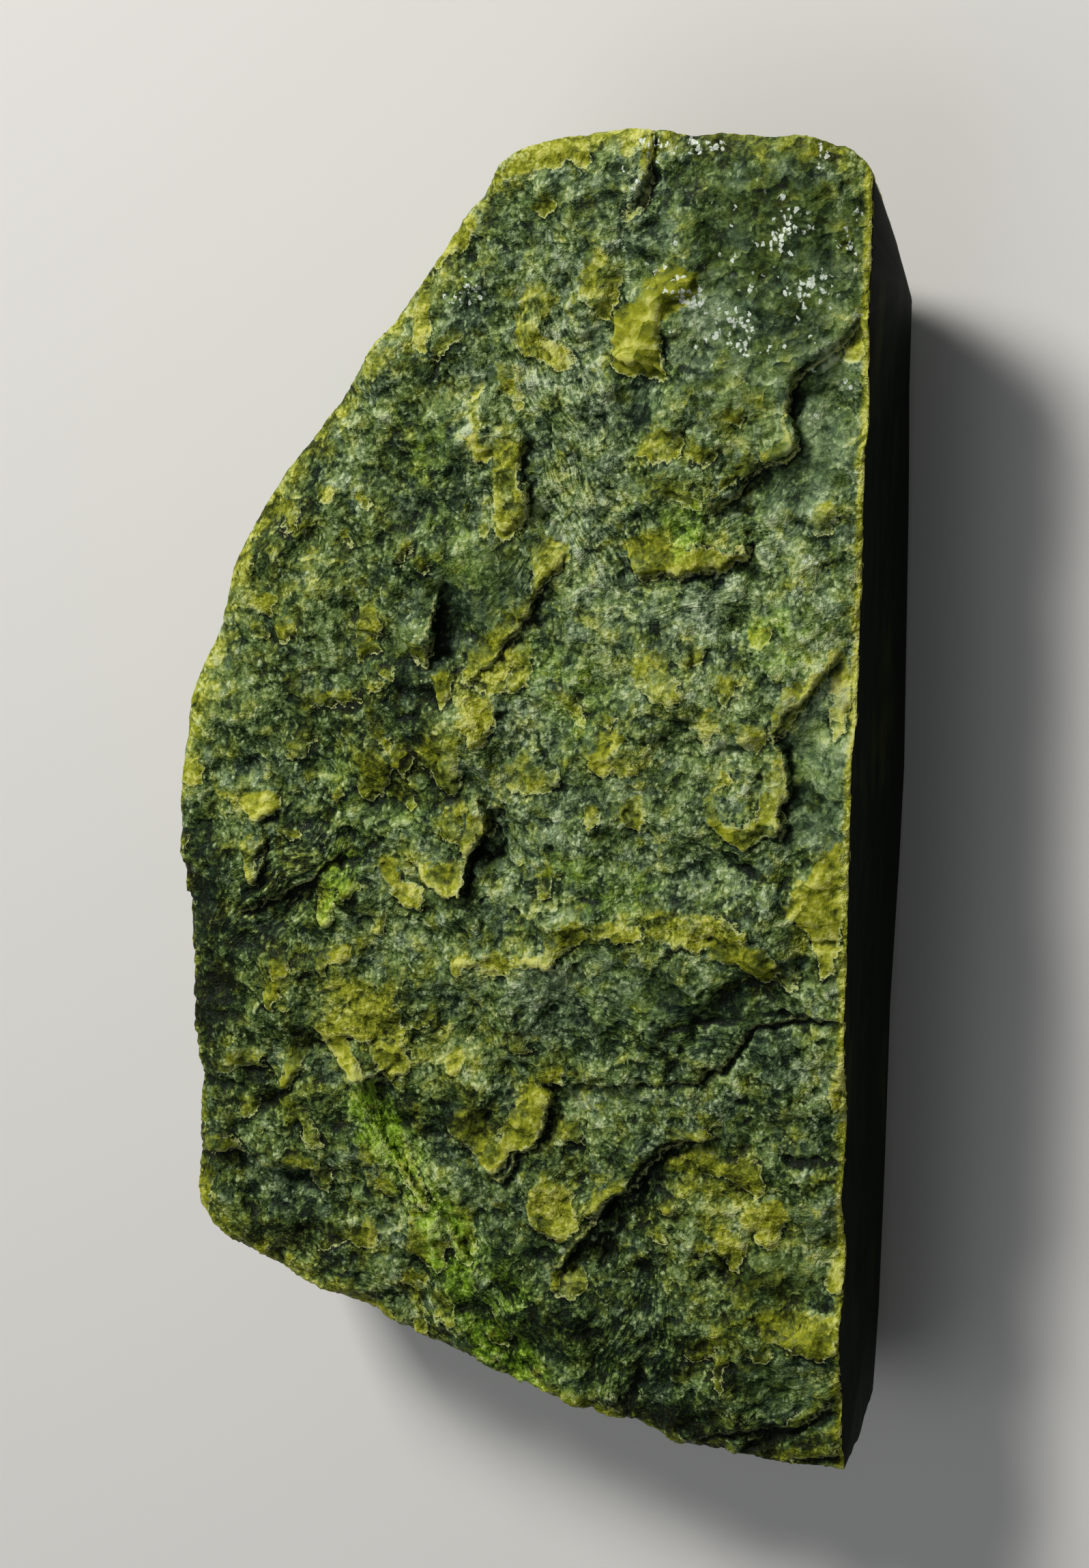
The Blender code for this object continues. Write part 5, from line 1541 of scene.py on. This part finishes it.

# Flakes drawn one by one: sharp at their lips, and running into the felt at their roots, the pale
# ones least. The walls have flakes from noise instead.
TORN_EDGES = (1.0, 3.0, 0.65)
WALL_FLAKES = (4.0, 3.0, 0.6)
WALL_FLAKE_SPREAD = 6.0
WALL_FLAKE_LEVEL = -3.4
PALE_ROOT_LOSS = 0.7
TEAR_AT_LIP = 1.6
MORE_TEAR_AT_ROOT = 3.0
FLAKE_GROWTH = 0.12
ROOT_BLUR = 0.5
BARE_LOSS = 0.7
SMOOTH_FELT_LOSS = 0.65

tear = g.swing(where, *TORN_EDGES)
root = g.plus(1.0, g.times(tone, -PALE_ROOT_LOSS))
root = g.times(g.maths("SUBTRACT", 1.0, lean), root)
wall_flake = g.plus(g.times(g.noise(where, *WALL_FLAKES), WALL_FLAKE_SPREAD), WALL_FLAKE_LEVEL)
drawn_flake = g.times(zone("flake"), front)
wall_flake = g.times(wall_flake, g.maths("SUBTRACT", 1.0, front))
edge_tear = g.times(tear, g.plus(TEAR_AT_LIP, g.times(root, MORE_TEAR_AT_ROOT)))
flake_depth = g.plus(drawn_flake, wall_flake, edge_tear, FLAKE_GROWTH)
flake = g.step(flake_depth, g.times(root, -ROOT_BLUR), g.plus(FLAKE_GROWTH, root))
bare = g.maths("SUBTRACT", 1.0, zone("sugar"))
calm = g.plus(1.0, g.times(zone("smooth"), -SMOOTH_FELT_LOSS))
covered = g.times(g.plus(1.0, g.times(flake, bare, -BARE_LOSS)), calm)

# Small scales of two sizes, each with painted shade at its root and painted light at its lip,
# stronger on some than others.
LIP_LIGHT_FROM = (0.55, 1.05)
ROOT_SHADE_FROM = (0.40, -0.05)
ROOT_SHADE = -0.95
LEAST_SHADING = 0.3

bent = bent_places(g, where, SCALE_BENDS, 2.0)
middle_lean, middle_draws = torn_scales(g, bent, MIDDLE_SCALE)
small_lean, small_draws = torn_scales(g, bent, SMALL_SCALE)


def painted_scale_light_and_shade(scale_lean, draw):
    """Painted light at scale lips and painted shade at their roots, stronger on some scales."""
    painted_root_shade = g.times(g.step(scale_lean, *ROOT_SHADE_FROM), ROOT_SHADE)
    painted_lip_light = g.step(scale_lean, *LIP_LIGHT_FROM)
    return g.times(g.plus(painted_lip_light, painted_root_shade), g.plus(LEAST_SHADING, draw))


# Sugary grains of two sizes: some crystals bright, partly their own pale colour and partly painted
# sparkle, with painted shade between them, thick in some patches and thin in others.
GRAIN_BENDS = [(1.4, 0.55), (0.45, 0.24)]
GRAIN_STRETCH = (1.0, 0.8, 1.0)
FINE_GRAIN = 0.55
COARSE_GRAIN = 1.15
SUGAR_PATCHES = (2.2, 2.0, 0.5)
SUGAR_FROM = (-0.16, 0.10)
FINE_RARITY = 1.8
COARSE_RARITY = 3.0
FINE_INSIDE = (0.75, 0.15)
COARSE_INSIDE = (0.60, 0.15)
FINE_SHADE_BETWEEN = (0.35, 0.75)
LEAST_SUGAR = 0.45
MORE_SUGAR = 0.75

grain_places = bent_places(g, where, GRAIN_BENDS, 1.0)
grain_places = g.vector("MULTIPLY", grain_places, GRAIN_STRETCH)
fine_cells = g.cells(grain_places, FINE_GRAIN)
fine_draws = g.split(fine_cells["Color"])
coarse_cells = g.cells(grain_places, COARSE_GRAIN)
coarse_draws = g.split(coarse_cells["Color"])
sugary = g.step(g.swing(where, *SUGAR_PATCHES), *SUGAR_FROM)
fine_inside = g.step(fine_cells["Distance"], *FINE_INSIDE)
fine_bright = g.times(g.maths("POWER", fine_draws[0], FINE_RARITY), fine_inside)
coarse_inside = g.step(coarse_cells["Distance"], *COARSE_INSIDE)
coarse_bright = g.times(g.maths("POWER", coarse_draws[0], COARSE_RARITY), coarse_inside)
between = g.step(fine_cells["Distance"], *FINE_SHADE_BETWEEN)
sugar_share = g.times(covered, g.plus(LEAST_SUGAR, g.times(sugary, MORE_SUGAR)))

# Pale felted threads wind between the crumbs, in some patches.
THREADS = (1.5, 2.0, 0.55)
THREAD_WIDTH = (0.035, 0.0)
THREAD_PATCHES = (5.5, 1.0, 0.5)
THREADS_FROM = (-0.06, 0.08)

threads = g.step(g.maths("ABSOLUTE", g.swing(bent, *THREADS)), *THREAD_WIDTH)
threads = g.times(threads, covered, g.step(g.swing(where, *THREAD_PATCHES), *THREADS_FROM))

# Where fibres lie side by side, the break is streaked along them.
STREAKS = (0.5 / MM, 2.0, 0.65)
STREAK_STRETCH = 0.22

along_fibres = g.nodes.new("ShaderNodeCombineXYZ")
g.links.new(g.times(zone("fibre_along"), STREAK_STRETCH), along_fibres.inputs[0])
g.links.new(zone("fibre_across"), along_fibres.inputs[1])
streaks = g.times(g.swing(along_fibres.outputs[0], *STREAKS), zone("fibre_strength"))

# Lips are pale, partly the broken stone's own colour and partly a painted glow of thin stone, and
# what lies under them gets a painted shadow. Each pair is where one comes in or goes out again, in
# millimetres inside the outline or off the line, and by how far the flake leans.
LIP_IN = (-0.03, 0.06)
LIP_OUT = (0.34, 0.14)
LIP_LEANS = (0.25, 0.8)
LIP_SHADOW_IN = (-0.55, -0.12)
LIP_SHADOW_OUT = (0.02, -0.06)
LIP_SHADOW_LEANS = (0.3, 0.7)
LEDGE_LIP_IN = (-0.05, 0.08)
LEDGE_LIP_OUT = (0.55, 0.2)
LEDGE_SHADOW_IN = (-0.8, -0.15)
LEDGE_SHADOW_OUT = (0.02, -0.1)
CRACK_SHADE_INSIDE = (1.25, 0.35)


def band(place, comes_in, goes_out):
    """1 between where something comes in and where it goes out again."""
    return g.times(g.step(place, *comes_in), g.step(place, *goes_out))


# Pale lips of flakes and ledges: partly the broken stone's own colour, partly a painted glow.
lip = g.times(band(flake_depth, LIP_IN, LIP_OUT), g.step(lean, *LIP_LEANS))
# Painted shadow just outside a flake's lip.
gap = g.times(band(flake_depth, LIP_SHADOW_IN, LIP_SHADOW_OUT), g.step(lean, *LIP_SHADOW_LEANS))
ledge = g.plus(zone("ledge"), tear)
ledge_strength = zone("ledge_strength")
ledge_lip = g.times(band(ledge, LEDGE_LIP_IN, LEDGE_LIP_OUT), ledge_strength)
# Painted shadow on the low side of a ledge.
painted_ledge_shadow = g.times(band(ledge, LEDGE_SHADOW_IN, LEDGE_SHADOW_OUT), ledge_strength)
groove = g.maths("ABSOLUTE", g.plus(zone("groove"), tear))
# Painted shade down the middle of grooves and cracks.
painted_crack_shade = g.times(g.step(groove, *CRACK_SHADE_INSIDE), zone("groove_strength"))
crest = zone("crest")
relief = zone("relief")
painted_rim_glow = zone("painted_rim_glow")
edge = zone("edge")


def weighed(start, parts):
    """A start value and the sum of some parts, each times its weight."""
    return g.plus(start, *[g.times(part, weight) for part, weight in parts])


# How pale the stone looks, from 0 to 1, by each thing that makes it paler or, below 0, darker:
# the stone's own tone, and painted light and shade from the forms.
DIP_SHADE_FROM = (-0.15, -0.9)
CREST_FROM = (0.2, 1.0)
HOLLOW_SHADE_FROM = (-0.15, -1.0)
HIGH_FROM = (0.1, 1.0)

# Grains: bright crystals, partly painted sparkle, with painted shade between them.
grains = weighed(-0.03, [(fine_bright, 0.28), (coarse_bright, 0.20), (between, -0.14)])
# Flakes are paler the yellower they are, and paler towards the lip by a painted glow.
flake_value = weighed(-0.02, [(tone, 0.13), (g.plus(lean, -0.5), 0.14)])
value = weighed(0.510, [
    (clouds, 0.8),
    (g.times(patches, calm), 1.0),
    (g.times(crumbs, covered), 0.8),
    (paler, 0.28),
    (painted_scale_light_and_shade(middle_lean, middle_draws[0]), 0.17),
    (painted_scale_light_and_shade(small_lean, small_draws[0]), 0.12),
    (g.plus(middle_draws[1], -0.5), 0.10),
    (g.times(grains, sugar_share), 1.0),
    (threads, 0.13),
    (g.times(flake, flake_value), 1.0),
    (lip, 0.12),
    (ledge_lip, 0.14),
    # Painted shadows under the lips of flakes and ledges.
    (gap, -0.24),
    (painted_ledge_shadow, -0.26),
    # Painted shade in cracks.
    (painted_crack_shade, -0.40),
    # Painted shade in dips and broad hollows; crests and high ground are paler.
    (g.step(crest, *DIP_SHADE_FROM), -0.14),
    (g.step(crest, *CREST_FROM), 0.10),
    (g.step(relief, *HOLLOW_SHADE_FROM), -0.16),
    (g.step(relief, *HIGH_FROM), 0.08),
    # Painted glow along the sawn side's rim.
    (painted_rim_glow, 0.20),
    (edge, 0.08),
    (g.times(streaks, covered), 1.7),
])

# How yellow the stone is, and how blue, by the same means.
SCALE_DRAWN = (0.75, 0.55)
SCALE_WARMTH = (0.0, 0.8)
WARM_FROM = (-0.05, 0.95)
COOL_FROM = (-0.05, 0.55)

scale_drawn = g.step(middle_draws[2], *SCALE_DRAWN)
scale_warm = g.times(scale_drawn, g.step(middle_lean, *SCALE_WARMTH))
flake_warm = weighed(0.26, [(tone, 0.44), (lean, 0.12)])
grain_hue = g.times(g.plus(coarse_draws[1], -0.5), covered)
warm = weighed(0.05, [
    (hues, 1.9),
    (grain_hue, -0.35),
    (warmer, 0.42),
    (g.times(flake, flake_warm), 1.0),
    (scale_warm, 0.22),
    # The painted rim glow is warm too.
    (painted_rim_glow, 0.9),
    (edge, 0.45),
    (ledge_lip, 0.45),
])
warm = g.step(warm, *WARM_FROM)
blue = g.plus(g.times(warmer, -0.7), g.times(blues, 2.6), g.times(grain_hue, 0.6), 0.12)
cool = g.step(blue, *COOL_FROM)
colour = g.mix(cool, ramp(g, value, GREEN_RAMP), ramp(g, value, COOL_RAMP))
colour = g.mix(warm, colour, ramp(g, value, WARM_RAMP))

# Fresh green streaks, then pale lips with their painted glow, and then the brightest of the sugary
# grains, partly painted sparkle.
FRESH_PATCHES = (-0.14, 0.02)
FRESH_SHARE = 0.9
FRESH_LIFT = 0.04
LIP_SHARE = 0.85
LEDGE_LIP_SHARE = 0.55
LIP_CRUMBS = (-0.12, 0.02)
COARSE_SHARE = 0.7
PALE_FROM = (0.25, 0.7)
PALE_SHARE = 0.42
WARM_PALE_LOSS = 0.25

fresh = g.times(zone("fresher"), g.step(patches, *FRESH_PATCHES), FRESH_SHARE)
colour = g.mix(fresh, colour, ramp(g, g.plus(value, FRESH_LIFT), FRESH_RAMP))
all_lips = g.plus(g.times(lip, LIP_SHARE), g.times(ledge_lip, LEDGE_LIP_SHARE))
colour = g.mix(g.times(all_lips, g.step(crumbs, *LIP_CRUMBS)), colour, LIP_PALE_AND_GLOW)
bright = g.plus(fine_bright, g.times(coarse_bright, COARSE_SHARE))
pale_grains_and_sparkle = g.times(bright, sugar_share, g.step(value, *PALE_FROM))
pale_grains_and_sparkle = g.times(pale_grains_and_sparkle, g.plus(PALE_SHARE, g.times(warm, -WARM_PALE_LOSS)))
colour = g.mix(pale_grains_and_sparkle, colour, PALE_GRAIN_AND_SPARKLE)

# Painted glints: white specks where crystals catch the light, in a few places.
GLINT_PATCHES = (2.2, 2.0)
GLINTS_FROM = (0.46, 0.62)
LEAST_GLINTS = 0.3
MORE_GLINTS = 0.5
GLINT_EDGE = 0.03
GLINT_INSIDE = (0.70, 0.45)
GLINT_SHARE = 0.8
ROUGHNESS = 0.45
ROUGHNESS_SPREAD = 0.25
GLINT_GLOSS = 0.15

glint_patch = g.step(g.noise(where, *GLINT_PATCHES), *GLINTS_FROM)
glint_most = g.plus(LEAST_GLINTS, g.times(glint_patch, MORE_GLINTS))
glint_share = g.times(g.maths("POWER", zone("glint"), 2.0), glint_most)
glint_from = g.maths("SUBTRACT", 1.0, glint_share)
glint = g.step(fine_draws[1], glint_from, g.plus(glint_from, GLINT_EDGE))
glint = g.times(glint, g.step(fine_cells["Distance"], *GLINT_INSIDE))
colour = g.mix(g.times(glint, GLINT_SHARE), colour, PAINTED_GLINT_WHITE)
g.links.new(colour, shader.inputs["Base Color"])
stone_roughness = weighed(ROUGHNESS, [(fine_draws[2], ROUGHNESS_SPREAD), (glint, -GLINT_GLOSS)])
g.links.new(stone_roughness, shader.inputs["Roughness"])

# Each grain is a small round bump with its own tilt, and bare flakes and smooth stone have less.
FINE_BUMPS = (0.7, 2.0, 0.7)
BARE_FROM = (-0.1, 0.3)
BUMP_DEPTH = 0.2
BUMP_STRENGTH = 0.9
NEPHRITE_IOR = 1.55
STONE_SPECULAR = 0.1

from_grain = g.vector("SUBTRACT", grain_places, fine_cells["Position"])
tilt = g.vector("SUBTRACT", fine_cells["Color"], MIDDLE_GREY)
bump_height = g.plus(
    g.times(g.vector("DOT_PRODUCT", from_grain, tilt), 0.9 / MM),
    g.times(fine_cells["Distance"], -0.3),
    g.times(coarse_cells["Distance"], -0.3),
    g.times(g.noise(where, *FINE_BUMPS), 2.2),
    g.times(streaks, 2.0),
)
bare_flake = g.times(g.step(drawn_flake, *BARE_FROM), bare)
bump_height = g.times(bump_height, g.plus(1.0, g.times(bare_flake, -BARE_LOSS)), calm)
bump = g.nodes.new("ShaderNodeBump")
bump.inputs["Distance"].default_value = BUMP_DEPTH * MM
bump.inputs["Strength"].default_value = BUMP_STRENGTH
g.links.new(bump_height, bump.inputs["Height"])
g.links.new(bump.outputs[0], shader.inputs["Normal"])
shader.inputs["IOR"].default_value = NEPHRITE_IOR
shader.inputs["Specular IOR Level"].default_value = STONE_SPECULAR

# The sawn faces: near black, their own dark green deepened by painted shade, with faint streaks
# along the cut and a few olive clouds.
SAWN_DARK = (0.002, 0.004, 0.002, 1.0)
SAWN_GREEN = (0.006, 0.012, 0.004, 1.0)
SAWN_OLIVE = (0.016, 0.019, 0.004, 1.0)
SAW_STREAKS = (0.8, 3.0)
SAW_STREAK_STRETCH = (1.0, 0.06, 1.0)
SAW_STREAKS_FROM = (0.4, 0.75)
SAWN_CLOUDS = (9.0, 4.0, 0.6)
SAWN_CLOUD_STRETCH = (1.0, 0.4, 1.0)
SAWN_CLOUDS_FROM = (0.52, 0.72)
SAWN_ROUGHNESS = 0.45
SAWN_ROUGHNESS_SPREAD = 0.2
SAW_MARK_DEPTH = 0.05
SAW_MARK_STRENGTH = 0.5
SAWN_SPECULAR = 0.02
SAWN_SKIN = 0.1
SAWN_FACING = 0.9

sawn_nephrite = bpy.data.materials.new("sawn_nephrite")
sawn_nephrite.use_nodes = True
s = Graph(sawn_nephrite.node_tree)
sawn_shader = s.nodes["Principled BSDF"]
sawn_where = s.nodes.new("ShaderNodeTexCoord").outputs["Object"]
saw_streaks = s.noise(s.vector("MULTIPLY", sawn_where, SAW_STREAK_STRETCH), *SAW_STREAKS)
sawn_clouds = s.noise(s.vector("MULTIPLY", sawn_where, SAWN_CLOUD_STRETCH), *SAWN_CLOUDS)
sawn_colour = s.mix(s.step(saw_streaks, *SAW_STREAKS_FROM), SAWN_DARK, SAWN_GREEN)
sawn_colour = s.mix(s.step(sawn_clouds, *SAWN_CLOUDS_FROM), sawn_colour, SAWN_OLIVE)
s.links.new(sawn_colour, sawn_shader.inputs["Base Color"])
sawn_roughness = s.plus(SAWN_ROUGHNESS, s.times(saw_streaks, SAWN_ROUGHNESS_SPREAD))
s.links.new(sawn_roughness, sawn_shader.inputs["Roughness"])
sawn_bump = s.nodes.new("ShaderNodeBump")
sawn_bump.inputs["Distance"].default_value = SAW_MARK_DEPTH * MM
sawn_bump.inputs["Strength"].default_value = SAW_MARK_STRENGTH
s.links.new(saw_streaks, sawn_bump.inputs["Height"])
s.links.new(sawn_bump.outputs[0], sawn_shader.inputs["Normal"])
sawn_shader.inputs["Specular IOR Level"].default_value = SAWN_SPECULAR

stone_mesh.materials.clear()
stone_mesh.materials.append(nephrite)
stone_mesh.materials.append(sawn_nephrite)


def of_faces(mesh, name):
    """One vector for each face of a mesh."""
    flat = np.empty(len(mesh.polygons) * 3)
    mesh.polygons.foreach_get(name, flat)
    return flat.reshape(-1, 3)


centres = of_faces(stone_mesh, "center") / MM
directions = of_faces(stone_mesh, "normal")
is_sawn = (centres[:, 0] > WIDTH / 2 - SAWN_SKIN) & (directions[:, 0] > SAWN_FACING)
is_sawn |= (centres[:, 2] < SAWN_SKIN) & (directions[:, 2] < -SAWN_FACING)
stone_mesh.polygons.foreach_set("material_index", is_sawn.astype(np.int32))

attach(stone, "root")
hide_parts("jade_slab")
